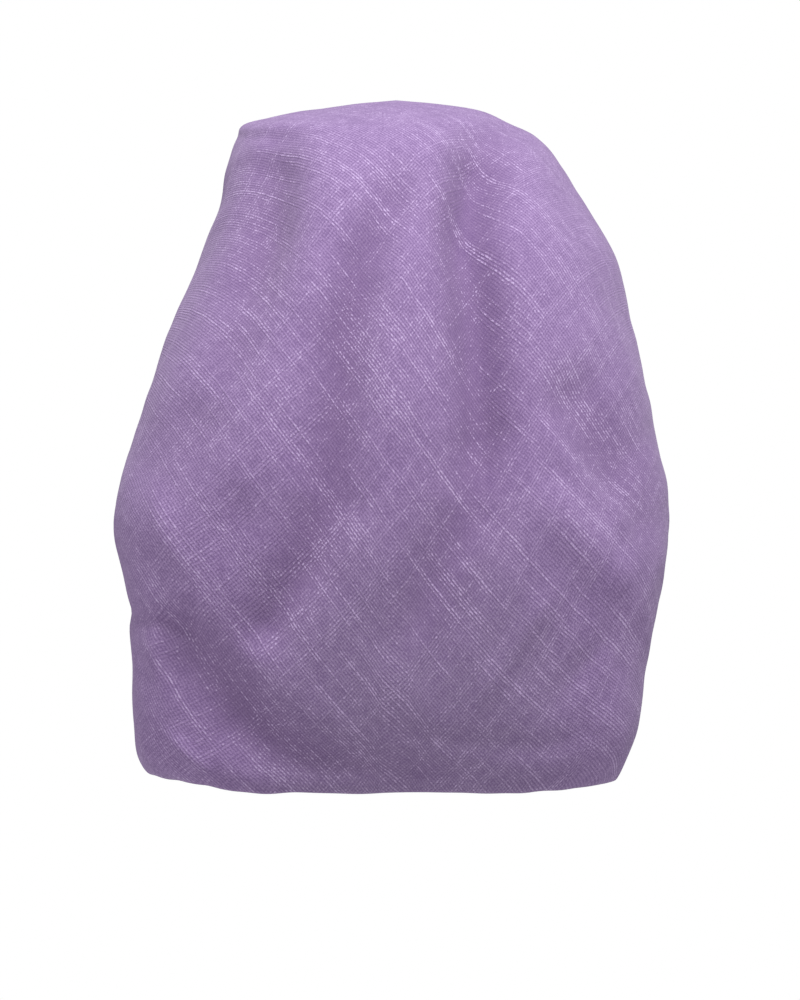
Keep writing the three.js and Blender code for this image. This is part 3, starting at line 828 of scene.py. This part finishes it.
@dataclass(frozen=True)
class SlubCloth:
    """A thin plain-woven cotton with uneven yarns: pale slubs run through both of its yarn families."""

    name: str
    area: ClothArea
    yarn_a: float = 0.98
    yarn_b: float = 1.07
    dark: Colour = (0.140, 0.082, 0.205, 1.0)
    ground: Colour = (0.262, 0.172, 0.343, 1.0)
    pale: Colour = (0.430, 0.325, 0.530, 1.0)
    grey: Colour = (0.232, 0.176, 0.285, 1.0)
    # A darker violet painted into the panel's deep folds as painted shade.
    fold_shade_violet: Colour = (0.142, 0.079, 0.186, 1.0)
    bump: float = 0.42
    bump_height: float = 0.00035
    lean: float = 0.85
    single_a: float = 0.62
    single_b: float = 0.45
    share_b: float = 0.8
    wander: tuple[float, float, float] = (0.11, 0.7, -0.6)
    group_step: tuple[float, float] = (0.31, 0.016)
    single_step: tuple[float, float] = (5.3, 0.03)
    slub_range: tuple[float, float] = (0.36, 0.68)
    slub_power: float = 1.5
    top_range: tuple[float, float] = (-0.45, 0.35)
    broken_scale: float = 0.4
    broken_range: tuple[float, float] = (0.36, 0.6)
    ridge_power: float = 1.8
    gap_depth: float = 0.8
    # How far the deepest folds are drawn towards the painted fold shade.
    fold_shade_share: float = 0.8
    low_grey: float = 0.7
    dark_share: float = 0.62
    mottles: tuple[Mottle, ...] = (
        Mottle(1.5, 1.0, 1.5, -0.75),
        Mottle(0.3, 2.0, 0.75, -0.37),
        Mottle(0.045, 2.0, 0.5, -0.25),
    )
    seed: float = 3.0

    def yarns(self, s: Shader, flat: Socket) -> tuple[Socket, Socket]:
        """Counts yarns across each family.

        Args:
            s: The material being made.
            flat: Where the point lies in the flat cloth, in millimetres.

        Returns:
            The count across family A and across family B.
        """
        feeds = {"Vector": flat, "Angle": math.radians(-45)}
        rotated = s.node("ShaderNodeVectorRotate", feeds, rotation_type="Z_AXIS")
        scale, to_a, to_b = self.wander
        wander = s.noise(flat, scale, 1.0)
        x, y, _ = s.parts(rotated.outputs[0])
        a = s.sum("MULTIPLY_ADD", x, 1 / self.yarn_a, s.sum("MULTIPLY", wander, to_a))
        b = s.sum("MULTIPLY_ADD", y, 1 / self.yarn_b, s.sum("MULTIPLY", wander, to_b))
        return a, b

    def thickness(self, s: Shader, count: Socket, run: Socket, seed: float, alone: float) -> Socket:
        """How thick and pale one family's yarn is.

        Args:
            s: The material being made.
            count: Yarns counted across the family.
            run: Yarns counted along it, which its length is measured in.
            seed: Sets the family apart from the other.
            alone: How much each yarn varies on its own, and not with its neighbours.

        Returns:
            0 for a fine yarn and 1 for a full slub.
        """
        number = s.sum("FLOOR", count)
        group_at = [s.sum("MULTIPLY", value, step) for value, step in zip((number, run), self.group_step)]
        single_at = [s.sum("MULTIPLY", value, step) for value, step in zip((number, run), self.single_step)]
        group = s.noise(s.vector(*group_at, seed), 1.0)
        single = s.noise(s.vector(*single_at, seed + 7), 1.0, 1.0)
        both = s.sum("MULTIPLY_ADD", group, 1 - alone, s.sum("MULTIPLY", single, alone))
        return s.sum("POWER", s.span(both, *self.slub_range), self.slub_power)

    def make(self) -> Material:
        """Builds the material.

        Returns:
            The material, which reads the cloth's own flat layout.
        """
        s = Shader(self.name)
        layout = s.node("ShaderNodeUVMap", uv_map="flat").outputs[0]
        flat = s.node("ShaderNodeVectorMath", {0: layout, "Scale": FLAT_SCALE}, operation="SCALE").outputs[0]
        a, b = self.yarns(s, flat)
        thick_a = self.thickness(s, a, b, self.seed, self.single_a)
        thick_b = s.sum("MULTIPLY", self.thickness(s, b, a, self.seed + 20, self.single_b), self.share_b)
        half_a = s.sum("SINE", s.sum("MULTIPLY", a, math.pi))
        half_b = s.sum("SINE", s.sum("MULTIPLY", b, math.pi))
        over = s.sum("MULTIPLY", half_a, half_b)
        lean = s.sum("MULTIPLY", s.sum("SUBTRACT", thick_a, thick_b), self.lean)
        a_on_top = s.span(s.sum("ADD", over, lean), *self.top_range)
        crown_a, crown_b = s.sum("ABSOLUTE", half_a), s.sum("ABSOLUTE", half_b)
        crown = s.blend(a_on_top, crown_b, crown_a)
        thick = s.blend(a_on_top, thick_b, thick_a)
        gap = s.sum("MULTIPLY", s.sum("SUBTRACT", 1.0, crown_a), s.sum("SUBTRACT", 1.0, crown_b))
        grains = [s.noise(flat, mottle.scale, mottle.detail) for mottle in self.mottles]
        broken = s.span(s.noise(flat, self.broken_scale, 2.0), *self.broken_range)
        ridge = s.sum("POWER", crown, self.ridge_power)
        slub = s.sum("MULTIPLY", thick, s.sum("MULTIPLY_ADD", ridge, 0.34, 0.12))
        slub = s.sum("MULTIPLY", slub, s.sum("MULTIPLY_ADD", broken, 0.55, 0.6))
        shade = s.sum("ADD", slub, s.sum("MULTIPLY_ADD", crown, 0.32, -0.1))
        shade = s.sum("ADD", shade, s.sum("MULTIPLY", crown_a, 0.18))
        for grain, mottle in zip(grains, self.mottles):
            shade = s.sum("ADD", shade, s.sum("MULTIPLY_ADD", grain, mottle.gain, mottle.base))
        level = s.span(shade, 0.0, 1.0)
        ground = self.ground_and_fold_shade(s)
        colour = s.tint(level, s.tint(self.dark_share, ground, self.dark), self.pale)
        middle = s.sum("SUBTRACT", 1.0, s.sum("ABSOLUTE", s.sum("MULTIPLY_ADD", level, 2.0, -1.0)))
        colour = s.tint(middle, colour, ground)
        colour = s.tint(s.sum("MULTIPLY", gap, self.gap_depth, clamp=True), colour, self.dark)
        height = s.sum("MULTIPLY", crown, s.sum("MULTIPLY_ADD", thick, 0.6, 0.5))
        height = s.sum("ADD", height, s.sum("MULTIPLY", grains[0], 0.3))
        feeds = {"Strength": self.bump, "Distance": self.bump_height, "Height": height}
        bump = s.node("ShaderNodeBump", feeds)
        look = {
            "Base Color": colour,
            "Roughness": 0.86,
            "Specular IOR Level": 0.25,
            "Sheen Weight": 0.15,
            "Sheen Roughness": 0.5,
            "Sheen Tint": (0.86, 0.78, 0.95, 1.0),
            "Normal": bump.outputs[0],
        }
        s.feed(s.surface, look)
        return s.material

    def ground_and_fold_shade(self, s: Shader) -> Socket:
        """The cloth's base colour, greyer low down in the middle; on the panel, painted shade makes it a
        darker violet inside the deep folds.

        Args:
            s: The material being made.

        Returns:
            The colour's socket.
        """
        x, _, z = s.parts(s.object_place())
        low = s.span(z, -0.13, -0.2)
        side = s.span(s.sum("ABSOLUTE", s.sum("SUBTRACT", x, 0.01)), 0.075, 0.02)
        greyed = s.sum("MULTIPLY", s.sum("MULTIPLY", low, side), self.low_grey)
        colour = s.tint(greyed, self.ground, self.grey)
        # Painted shade: the deeper a point lies in a fold, the more its colour is drawn towards the darker
        # violet.
        if self.area is ClothArea.PANEL:
            fold = s.node("ShaderNodeAttribute", attribute_name="fold").outputs["Fac"]
            colour = s.tint(s.sum("MULTIPLY", fold, self.fold_shade_share, clamp=True), colour, self.fold_shade_violet)
        return colour


@dataclass(frozen=True)
class SewingThread:
    """Smooth polyester thread, close to the cloth's colour."""

    name: str = "sewing_thread"
    colour: Colour = (0.330, 0.250, 0.430, 1.0)

    def make(self) -> Material:
        """Builds the material, with a fine noise mottle of darker and lighter thread.

        Returns:
            The material.
        """
        s = Shader(self.name)
        grain = s.noise(s.object_place(), 900.0, 2.0)
        darker = tuple(0.7 * c for c in self.colour[:3]) + (1.0,)
        colour = s.tint(grain, darker, self.colour)
        s.feed(s.surface, {"Base Color": colour, "Roughness": 0.55, "Sheen Weight": 0.3})
        return s.material


@dataclass
class ClothMesh:
    """A mesh of cloth being put together: places in millimetres, faces, and each point's flat place."""

    name: str
    places: Array
    faces: list[Face]
    flat: Array
    fold: Array | None = None

    def build(self, *materials: Material) -> Object:
        """Makes the object.

        Args:
            materials: Its materials, in slot order.

        Returns:
            The object, in metres, smooth, with its layer named flat.
        """
        mesh = bpy.data.meshes.new(self.name)
        mesh.from_pydata((self.places * METRES).tolist(), [], [tuple(int(i) for i in f) for f in self.faces])
        mesh.validate()
        corners = np.zeros(len(mesh.loops), dtype=np.int32)
        mesh.loops.foreach_get("vertex_index", corners)
        layer = mesh.uv_layers.new(name="flat")
        layer.data.foreach_set("uv", (self.flat[corners] / FLAT_SCALE).astype(np.float32).ravel())
        # The fold attribute carries how deep each point lies in the folds, which the panel's finish darkens
        # as painted shade.
        if self.fold is not None:
            fold = mesh.attributes.new("fold", "FLOAT", "POINT")
            fold.data.foreach_set("value", self.fold.astype(np.float32))
        mesh.polygons.foreach_set("use_smooth", np.ones(len(mesh.polygons), dtype=bool))
        for material in materials:
            mesh.materials.append(material)
        return linked(self.name, mesh)


@dataclass
class DrapedPanel:
    """The one piece of cloth over the head: smooth at the brow, full and folded behind the neck."""

    shape: WornShape
    finish: SlubCloth
    grid: ClothGrid = ClothGrid(186, 54, 200)
    cloth: float = 0.7
    wrinkle: float = 0.45
    flat_size: tuple[float, float] = (0.44, 0.46)
    flat_area: float = 0.15
    fold_gain: float = 1.18
    swag: tuple[float, float] = (0.0019, 0.0033)
    slack_left: float = 0.0023
    drag_size: tuple[float, float] = (14, 16)
    swell_size: float = 34
    hem_size: float = 26
    full_fold: float = 0.75

    def hung(self, flat: Array, across: Array) -> Array:
        """The flat layout of cloth that is pulled up towards both ends of its seam, as a swag is.

        Args:
            flat: Flat places in millimetres.
            across: Millimetres to the right of the middle, where each is worn.

        Returns:
            Flat places whose yarns fan out at the sides.
        """
        left, right = np.minimum(across, 0) ** 2, np.maximum(across, 0) ** 2
        lower = self.swag[0] * left + self.swag[1] * right
        return flat + np.stack([self.slack_left * left, -lower], axis=-1)

    def wrinkles(self, flat: Array, angle: Array, along: Array) -> Array:
        """Small swells and drags of thin cloth.

        Args:
            flat: Flat places in millimetres.
            angle: Degrees round the crown.
            along: Shares of the cloth's length.

        Returns:
            Millimetres out of the surface.
        """
        x, y = flat[..., 0], flat[..., 1]
        slant, rise = (x + y) * SLANT, (x - y) * SLANT
        size_a, size_b = self.drag_size
        drags = soft_noise(slant, rise / 4, size_a, 5) + soft_noise(slant / 4, rise, size_b, 6)
        swells = soft_noise(x, y, self.swell_size, 7)
        hem = ease(0.72, 0.8, along) * soft_noise(angle * 1.7, y * 0.1, self.hem_size, 8)
        made = self.wrinkle * (0.35 * drags + 0.8 * swells) * (1 - 0.6 * ease(0.7, 0.78, along)) + 0.25 * hem
        made = made * ease(0.02, 0.1, along) * (1 - ease(0.9, 0.96, along))
        return made * mix(0.35, 1, self.shape.foldable(angle, 0.3))

    def build(self) -> Object:
        """Makes the panel, outside and inside, with its flat layout.

        Returns:
            The panel's object.
        """
        shape, grid = self.shape, self.grid
        angle, along = np.meshgrid(grid.angles(), grid.alongs())
        plain = shape.plain(angle, along)
        outward = shape.outward(angle, along)
        flat = FlatCut(shape).spread(grid)
        on_back = shape.foldable(angle, along)
        folds = shape.pressed(FOLDS, plain[..., 0], along) * on_back * self.fold_gain
        creases = shape.pressed(CREASES, plain[..., 0], along) * on_back
        rise = self.wrinkles(flat[1:].reshape(*angle.shape, 2), angle, along) - folds - creases
        placed = (plain + outward * rise[..., None]).reshape(-1, 3)
        outside = np.concatenate([[shape.plain(0, 0)], placed])
        flat = self.hung(flat, outside[:, 0])
        faces = grid.faces()
        normals = self.normals(outside, faces)
        inside = outside - normals * self.cloth
        count, n = len(outside), grid.around
        inner = [tuple(count + i for i in reversed(face)) for face in faces]
        last = count - n
        rim = [(last + c, last + count + c, last + count + (c + 1) % n, last + (c + 1) % n) for c in range(n)]
        # How deep each point lies in the folds, 0 to 1, for the painted fold shade in the panel's finish.
        pressed = np.concatenate([[0], np.clip(folds / (self.full_fold * shape.fold_depth), 0, 1).ravel()])
        made = ClothMesh(
            "draped_panel",
            np.concatenate([outside, inside]),
            faces + inner + rim,
            np.concatenate([flat, flat]),
            np.concatenate([pressed, pressed]),
        )
        return made.build(self.finish.make())

    def normals(self, places: Array, faces: list[Face]) -> Array:
        """The way out of the surface at each point, from the faces round it.

        Args:
            places: The surface's points.
            faces: Its triangles and squares.

        Returns:
            A way for each point, one long.
        """
        made = np.zeros_like(places)
        for sides in (3, 4):
            corners = np.array([face for face in faces if len(face) == sides])
            first, second, third, last = (places[corners[:, i]] for i in (0, 1, 2, -1))
            square = np.cross(third - first, last - second)
            facing = square if sides == 4 else np.cross(second - first, third - first)
            for corner in range(sides):
                np.add.at(made, corners[:, corner], facing)
        return unit(made)

    def dress(self, piece: Object) -> None:
        """Args:
            piece: The panel's object.
        """
        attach(piece, "root")
        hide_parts("panel_front", "panel_crown", "panel_left", "panel_right")


@dataclass(frozen=True)
class StripSize:
    """A strip of folded cloth along the head's line."""

    start: float
    end: float
    width: float
    thickness: float
    steps: int


@dataclass
class FoldedStrip:
    """A strip round the head: its section is soft at the edges and its surface can ruffle."""

    name: str
    head: HeadLine
    size: StripSize
    finish: SlubCloth
    gap: float = 0.35
    ruffle: Callable[[Array], Array] = lambda share: np.zeros_like(share)
    round_edges: int = 28
    inside_apart: float = 40.0

    def section(self) -> Array:
        """Shares of half the width and half the thickness round the strip, turning the way that faces out."""
        return np.stack(soft_oblong(ring_turns(self.round_edges)), axis=-1)

    def surface(self, share: Array, across: Array, through: Array) -> Array:
        """Places on the strip.

        Args:
            share: How far along the strip, 0 to 1.
            across: Shares of its half width, -1 at the top edge.
            through: Shares of its half thickness, 1 outside.

        Returns:
            A place for each, in the last axis.
        """
        size = self.size
        turn = mix(size.start, size.end, share)
        slack = 0.12 * np.sin(share * 61.0) + 0.1 * np.sin(share * 143.0 + across * 2)
        out = self.ruffle(share) + through * size.thickness / 2 + slack * np.abs(through)
        return self.head.place(turn, self.gap + size.width * (1 + across) / 2, out)

    def build(self) -> Object:
        """Makes the closed strip with its flat layout.

        Returns:
            The strip's object.
        """
        section = self.section()
        share = np.linspace(0, 1, self.size.steps + 1)
        grid_share, across = np.meshgrid(share, section[:, 0], indexing="ij")
        through = np.broadcast_to(section[:, 1], across.shape)
        places = self.surface(grid_share, across, through).reshape(-1, 3)
        length = np.radians(self.size.end - self.size.start) * self.head.reach
        down = across * self.size.width / 2 + np.where(through < 0, self.inside_apart, 0.0)
        flat = np.stack([(grid_share * length + down) * SLANT, (down - grid_share * length) * SLANT], axis=-1)
        faces = tube_faces(self.size.steps + 1, len(section))
        return ClothMesh(self.name, places, faces, flat.reshape(-1, 2)).build(self.finish.make())

    def stitch_lines(self, share: Array, across: float) -> list[Array]:
        """Lines of stitches on the strip.

        Args:
            share: How far along the strip their points lie, 0 to 1.
            across: How far from its middle they run, as a share of its half width.

        Returns:
            The line near the top edge and the line near the bottom edge, each outside and then inside.
        """
        return [
            self.surface(share, np.full_like(share, side), np.full_like(share, through))
            for side in (-across, across)
            for through in (1.0, -1.0)
        ]


def stitch_tree() -> bpy.types.NodeTree:
    """Builds the node tree that sets stitches along a line.

    Returns:
        A tree with named inputs for the stitch's length, gap and thickness and the thread's material.
    """
    tree = bpy.data.node_groups.new("stitch_row", "GeometryNodeTree")
    face = tree.interface
    face.new_socket("Line", in_out="INPUT", socket_type="NodeSocketGeometry")
    for name, value in (("Pitch", 0.0032), ("Length", 0.0024), ("Thickness", 0.00028), ("Unevenness", 0.12)):
        socket = face.new_socket(name, in_out="INPUT", socket_type="NodeSocketFloat")
        socket.default_value = value
    face.new_socket("Thread", in_out="INPUT", socket_type="NodeSocketMaterial")
    face.new_socket("Stitches", in_out="OUTPUT", socket_type="NodeSocketGeometry")
    t = Tree(tree)
    given = t.node("NodeGroupInput").outputs
    curve = t.node("GeometryNodeMeshToCurve", {0: given["Line"]}).outputs[0]
    spacing = {"Curve": curve, "Length": given["Pitch"]}
    points = t.node("GeometryNodeCurveToPoints", spacing, mode="LENGTH").outputs
    ball = t.node("GeometryNodeMeshUVSphere", {"Segments": 8, "Rings": 6, "Radius": 1.0})
    half, thick = t.sum("MULTIPLY", given["Length"], 0.5), given["Thickness"]
    size = t.node("ShaderNodeCombineXYZ", {0: thick, 1: thick, 2: half})
    low, high = t.sum("SUBTRACT", 1.0, given["Unevenness"]), t.sum("ADD", 1.0, given["Unevenness"])
    uneven = t.node("FunctionNodeRandomValue", {0: low, 1: high, "Seed": 11}, data_type="FLOAT_VECTOR")
    scale = t.node("ShaderNodeVectorMath", {0: size.outputs[0], 1: uneven.outputs[0]}, operation="MULTIPLY")
    placing = {
        "Points": points["Points"],
        "Instance": ball.outputs["Mesh"],
        "Rotation": points["Rotation"],
        "Scale": scale.outputs[0],
    }
    made = t.node("GeometryNodeInstanceOnPoints", placing)
    for kind in ("GeometryNodeRealizeInstances", "GeometryNodeSetShadeSmooth", "GeometryNodeSetMaterial"):
        made = t.node(kind, {0: made.outputs[0]})
    t.feed(made, {"Material": given["Thread"]})
    t.node("NodeGroupOutput", {0: made.outputs[0]})
    return tree


@dataclass
class StitchRows:
    """Rows of stitches sunk into a strip's outside or inside."""

    name: str
    lines: list[Array]
    thread: Material
    tree: bpy.types.NodeTree
    pitch: float = 3.2
    length: float = 2.4
    thickness: float = 0.28

    def build(self) -> Object:
        """Makes the stitches as one plain mesh.

        Returns:
            The object, with no modifier left on it.
        """
        places = np.concatenate(self.lines) * METRES
        edges: list[tuple[int, int]] = []
        start = 0
        for line in self.lines:
            edges += [(start + i, start + i + 1) for i in range(len(line) - 1)]
            start += len(line)
        mesh = bpy.data.meshes.new(self.name + "_line")
        mesh.from_pydata(places.tolist(), edges, [])
        guide = linked(self.name + "_line", mesh)
        worker = guide.modifiers.new("stitches", "NODES")
        worker.node_group = self.tree
        values = {
            "Pitch": self.pitch * METRES,
            "Length": self.length * METRES,
            "Thickness": self.thickness * METRES,
            "Thread": self.thread,
        }
        for item in self.tree.interface.items_tree:
            if item.item_type == "SOCKET" and item.in_out == "INPUT" and item.name in values:
                worker[item.identifier] = values[item.name]
        graph = bpy.context.evaluated_depsgraph_get()
        plain = bpy.data.meshes.new_from_object(guide.evaluated_get(graph))
        guide.modifiers.remove(worker)
        bpy.data.objects.remove(guide)
        return linked(self.name, plain)


@dataclass
class BrowBand:
    """The band of doubled cloth round the head, from one end of the elastic to the other."""

    head: HeadLine
    finish: SlubCloth
    thread: Material
    tree: bpy.types.NodeTree
    end_turn: float = 34.3
    width: float = 26.0
    thickness: float = 3.0
    stitch_inset: float = 0.8

    def build(self) -> list[Object]:
        """Makes the band and its two rows of stitches, inside and out.

        Returns:
            The band and its stitches.
        """
        size = StripSize(self.end_turn, 360 - self.end_turn, self.width, self.thickness - 0.3, 220)
        strip = FoldedStrip("folded_brow_band", self.head, size, self.finish)
        band = strip.build()
        lines = strip.stitch_lines(np.linspace(0.004, 0.996, 500), self.stitch_inset)
        stitches = StitchRows("band_stitches", lines, self.thread, self.tree).build()
        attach(band, "root")
        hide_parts("brow_band")
        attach(stitches, "root")
        return [band, stitches]


@dataclass
class NapeCasing:
    """The elastic at the nape in its casing, which it draws up into ruffles."""

    head: HeadLine
    finish: SlubCloth
    thread: Material
    tree: bpy.types.NodeTree
    half_angle: float = 34.0
    width: float = 22.0
    thickness: float = 3.2
    depth: float = 1.3
    ruffles: int = 13
    channel: float = 0.42

    def ruffle(self, share: Array) -> Array:
        """Millimetres that the casing stands in or out at a share of its length."""
        wave = np.sin(share * self.ruffles * 2 * math.pi)
        return self.depth * wave * np.sqrt(np.abs(np.sin(share * math.pi)))

    def build(self) -> list[Object]:
        """Makes the casing and the two rows of stitches that hold the elastic in its channel.

        Returns:
            The casing and its stitches.
        """
        size = StripSize(-self.half_angle, self.half_angle, self.width, self.thickness - 0.3, 208)
        strip = FoldedStrip("ruffled_casing", self.head, size, self.finish, ruffle=self.ruffle)
        casing = strip.build()
        lines = strip.stitch_lines(np.linspace(0.012, 0.988, 420), self.channel)
        stitches = StitchRows("casing_stitches", lines, self.thread, self.tree, pitch=2.6, length=1.9).build()
        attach(casing, "root")
        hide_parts("nape_elastic")
        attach(stitches, "root")
        return [casing, stitches]


@dataclass
class NapeTie:
    """The tie sewn to the middle of the casing: a knot and its two short ends."""

    head: HeadLine
    finish: SlubCloth
    casing_width: float = 22.0
    casing_thickness: float = 3.2
    ruffle_depth: float = 1.3
    gap: float = 0.35
    knot_width: float = 21.0
    knot_height: float = 16.0
    knot_depth: float = 11.0
    waist: float = 0.16
    waist_reach: float = 0.183
    knot_scale: float = 0.965
    tail_length: float = 36.0
    tail_width: float = 17.0
    tail_thickness: float = 1.6

    def middle(self) -> Array:
        """Where the knot sits on the casing.

        Returns:
            The place of the knot's middle.
        """
        half = (1 - self.waist) * self.knot_depth / 2
        out = self.casing_thickness / 2 + self.ruffle_depth + self.gap + half
        return self.head.place(np.array(0.0), self.casing_width * 0.75, out)

    def knot(self) -> tuple[Array, list[Face], Array]:
        """The knot: a wrapped roll with pleats running round its waist.

        Returns:
            Places, faces and flat places.
        """
        rows, around = 40, 64
        i, j = np.meshgrid(np.arange(1, rows), np.arange(around), indexing="ij")
        across = i / rows * math.pi
        waist = 1 - self.waist * np.exp(-(((i - rows / 2) / (rows * self.waist_reach)) ** 2))
        size = np.sin(across) ** 0.7 * waist
        turn = -j / around * 2 * math.pi
        pleat = 1 + 0.035 * np.cos(across * 14 + np.sin(turn) * 1.2) + 0.02 * np.cos(turn * 5 + across * 3)
        x = self.knot_width / 2 * np.cos(across)
        y = self.knot_depth / 2 * size * np.cos(turn) * pleat
        z = self.knot_height / 2 * size * np.sin(turn) * pleat
        ends = np.array([[self.knot_width / 2, 0, 0], [-self.knot_width / 2, 0, 0]])
        places = np.concatenate([np.stack([x, y, z], axis=-1).reshape(-1, 3), ends])
        faces = tube_faces(rows - 1, around, capped=False)
        first, last = (rows - 1) * around, (rows - 2) * around
        faces += [(first, (k + 1) % around, k) for k in range(around)]
        faces += [(first + 1, last + k, last + (k + 1) % around) for k in range(around)]
        flat = np.stack([j * 0.75, i * 0.6], axis=-1).reshape(-1, 2)
        return places * self.knot_scale + self.middle(), faces, np.concatenate([flat, [[0, 0], [0, 24]]])

    def tail(self, side: float) -> tuple[Array, list[Face], Array]:
        """One short end below the knot.

        Args:
            side: 1 for the wearer's right, -1 for the left.

        Returns:
            Places, faces and flat places.
        """
        steps, around = 36, 24
        share, turn = np.meshgrid(np.linspace(0, 1, steps + 1), ring_turns(around), indexing="ij")
        across, through = soft_oblong(turn)
        width = self.tail_width * mix(0.45, 1, ease(0, 0.8, share))
        down = share * self.tail_length
        ripple = 0.25 * np.sin(across * 6 + share * 5) * share
        x = side * (self.knot_width * 0.16 + down * 0.4) + across * width / 2
        y = through * self.tail_thickness * 0.42 + 0.8 * np.sin(across * 3 + side) * share + ripple
        z = -self.knot_height / 4 - down - across * side * width * share / 3
        places = np.stack([x, y, z], axis=-1).reshape(-1, 3) + self.middle()
        flat = np.stack([across * width / 2 + side * 60, -down + np.where(through < 0, 50, 0)], axis=-1)
        return places, tube_faces(steps + 1, around), flat.reshape(-1, 2)

    def build(self) -> Object:
        """Returns:
            The tie's object.
        """
        places, faces, flat = [], [], []
        count = 0
        for piece in (self.knot(), self.tail(-1), self.tail(1)):
            places.append(piece[0])
            faces += [tuple(i + count for i in face) for face in piece[1]]
            flat.append(piece[2])
            count += len(piece[0])
        mesh = ClothMesh("knotted_tie", np.concatenate(places), faces, np.concatenate(flat))
        made = mesh.build(self.finish.make())
        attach(made, "root")
        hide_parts("nape_tie")
        return made


@dataclass(frozen=True)
class SoftLight:
    """One soft light of the studio."""

    name: str
    place: tuple[float, float, float]
    aim: tuple[float, float, float]
    size: float
    power: float
    colour: tuple[float, float, float] = (1.0, 1.0, 1.0)

    def build(self) -> None:
        """Makes the light."""
        lamp = bpy.data.lights.new(self.name, "AREA")
        lamp.shape = "DISK"
        lamp.size = self.size
        lamp.energy = self.power
        lamp.color = self.colour
        made = linked(self.name, lamp)
        made.location = self.place
        made.rotation_euler = (Vector(self.aim) - Vector(self.place)).to_track_quat("-Z", "Y").to_euler()


@dataclass
class Studio:
    """The plain white room, its soft lights, and the camera behind the head."""

    aim: tuple[float, float, float] = (0.0014, -0.060, -0.1454)
    elevation: float = 3.0
    distance: float = 1.7
    focal: float = 170.0
    floor_drop: float = 0.9
    floor_reach: float = 2.2
    room_light: float = 0.42
    lights: tuple[SoftLight, ...] = field(
        default_factory=lambda: (
            SoftLight("top_light", (0.2, -0.5, 1.0), (0.0, -0.05, -0.08), 0.6, 21.0),
            SoftLight("left_light", (-1.3, -0.5, -0.1), (0.0, -0.05, -0.14), 0.8, 6.3),
            SoftLight("right_light", (1.2, -0.7, -0.5), (0.0, -0.05, -0.18), 0.6, 3.5),
        )
    )

    def build(self) -> None:
        """Makes the room, lights and camera."""
        scene = bpy.context.scene
        scene.view_settings.view_transform = "Standard"
        world = bpy.data.worlds.new("white_room")
        world.use_nodes = True
        t = Tree(world.node_tree)
        room = t.tree.nodes["Background"]
        t.feed(room, {"Color": WHITE, "Strength": self.room_light})
        sheet = t.node("ShaderNodeBackground", {"Color": WHITE})
        seen = t.node("ShaderNodeLightPath").outputs["Is Camera Ray"]
        choose = t.node("ShaderNodeMixShader", {0: seen, 1: room.outputs[0], 2: sheet.outputs[0]})
        t.feed(t.tree.nodes["World Output"], {"Surface": choose.outputs[0]})
        scene.world = world
        for light in self.lights:
            light.build()
        self.floor()
        camera = bpy.data.cameras.new("photo_camera")
        camera.lens = self.focal
        camera.sensor_width = 36.0
        camera.clip_end = 20.0
        made = linked("photo_camera", camera)
        rise = math.radians(self.elevation)
        away = Vector((0.0, -math.cos(rise), math.sin(rise))) * self.distance
        made.location = Vector(self.aim) + away
        made.rotation_euler = (-away).to_track_quat("-Z", "Y").to_euler()
        scene.camera = made

    def floor(self) -> None:
        """Makes the pale floor."""
        reach = self.floor_reach
        corners = [(-reach, -reach), (reach, -reach), (reach, reach), (-reach, reach)]
        mesh = bpy.data.meshes.new("floor")
        mesh.from_pydata([(x, y, -self.floor_drop) for x, y in corners], [], [(0, 1, 2, 3)])
        s = Shader("pale_floor")
        s.feed(s.surface, {"Base Color": (0.75, 0.75, 0.75, 1.0), "Roughness": 0.9})
        mesh.materials.append(s.material)
        made = linked("floor", mesh)


def cloth_area(piece: Object) -> float:
    """The area of one side of a closed sheet, in square metres."""
    return sum(face.area for face in piece.data.polygons) / 2


def main() -> None:
    """Builds the wrap piece by piece and reports each."""
    logging.basicConfig(level=logging.INFO, format="%(name)s: %(message)s")
    head = HeadLine()
    shape = WornShape(head)
    panel = DrapedPanel(shape, SlubCloth("panel_slub_cloth", ClothArea.PANEL))
    piece = panel.build()
    panel.dress(piece)
    LOG.info("%s: %d faces, cloth area %.4f m2", piece.name, len(piece.data.polygons), cloth_area(piece))
    thread = SewingThread().make()
    tree = stitch_tree()
    band = BrowBand(head, SlubCloth("band_slub_cloth", ClothArea.BAND, seed=31.0), thread, tree)
    casing = NapeCasing(head, SlubCloth("casing_slub_cloth", ClothArea.CASING, seed=57.0), thread, tree)
    for made in (*band.build(), *casing.build()):
        LOG.info("%s: %d faces", made.name, len(made.data.polygons))
    tie = NapeTie(head, SlubCloth("tie_slub_cloth", ClothArea.TIE, seed=83.0)).build()
    LOG.info("%s: %d faces", tie.name, len(tie.data.polygons))
    Studio().build()


if __name__ == "__main__":
    main()
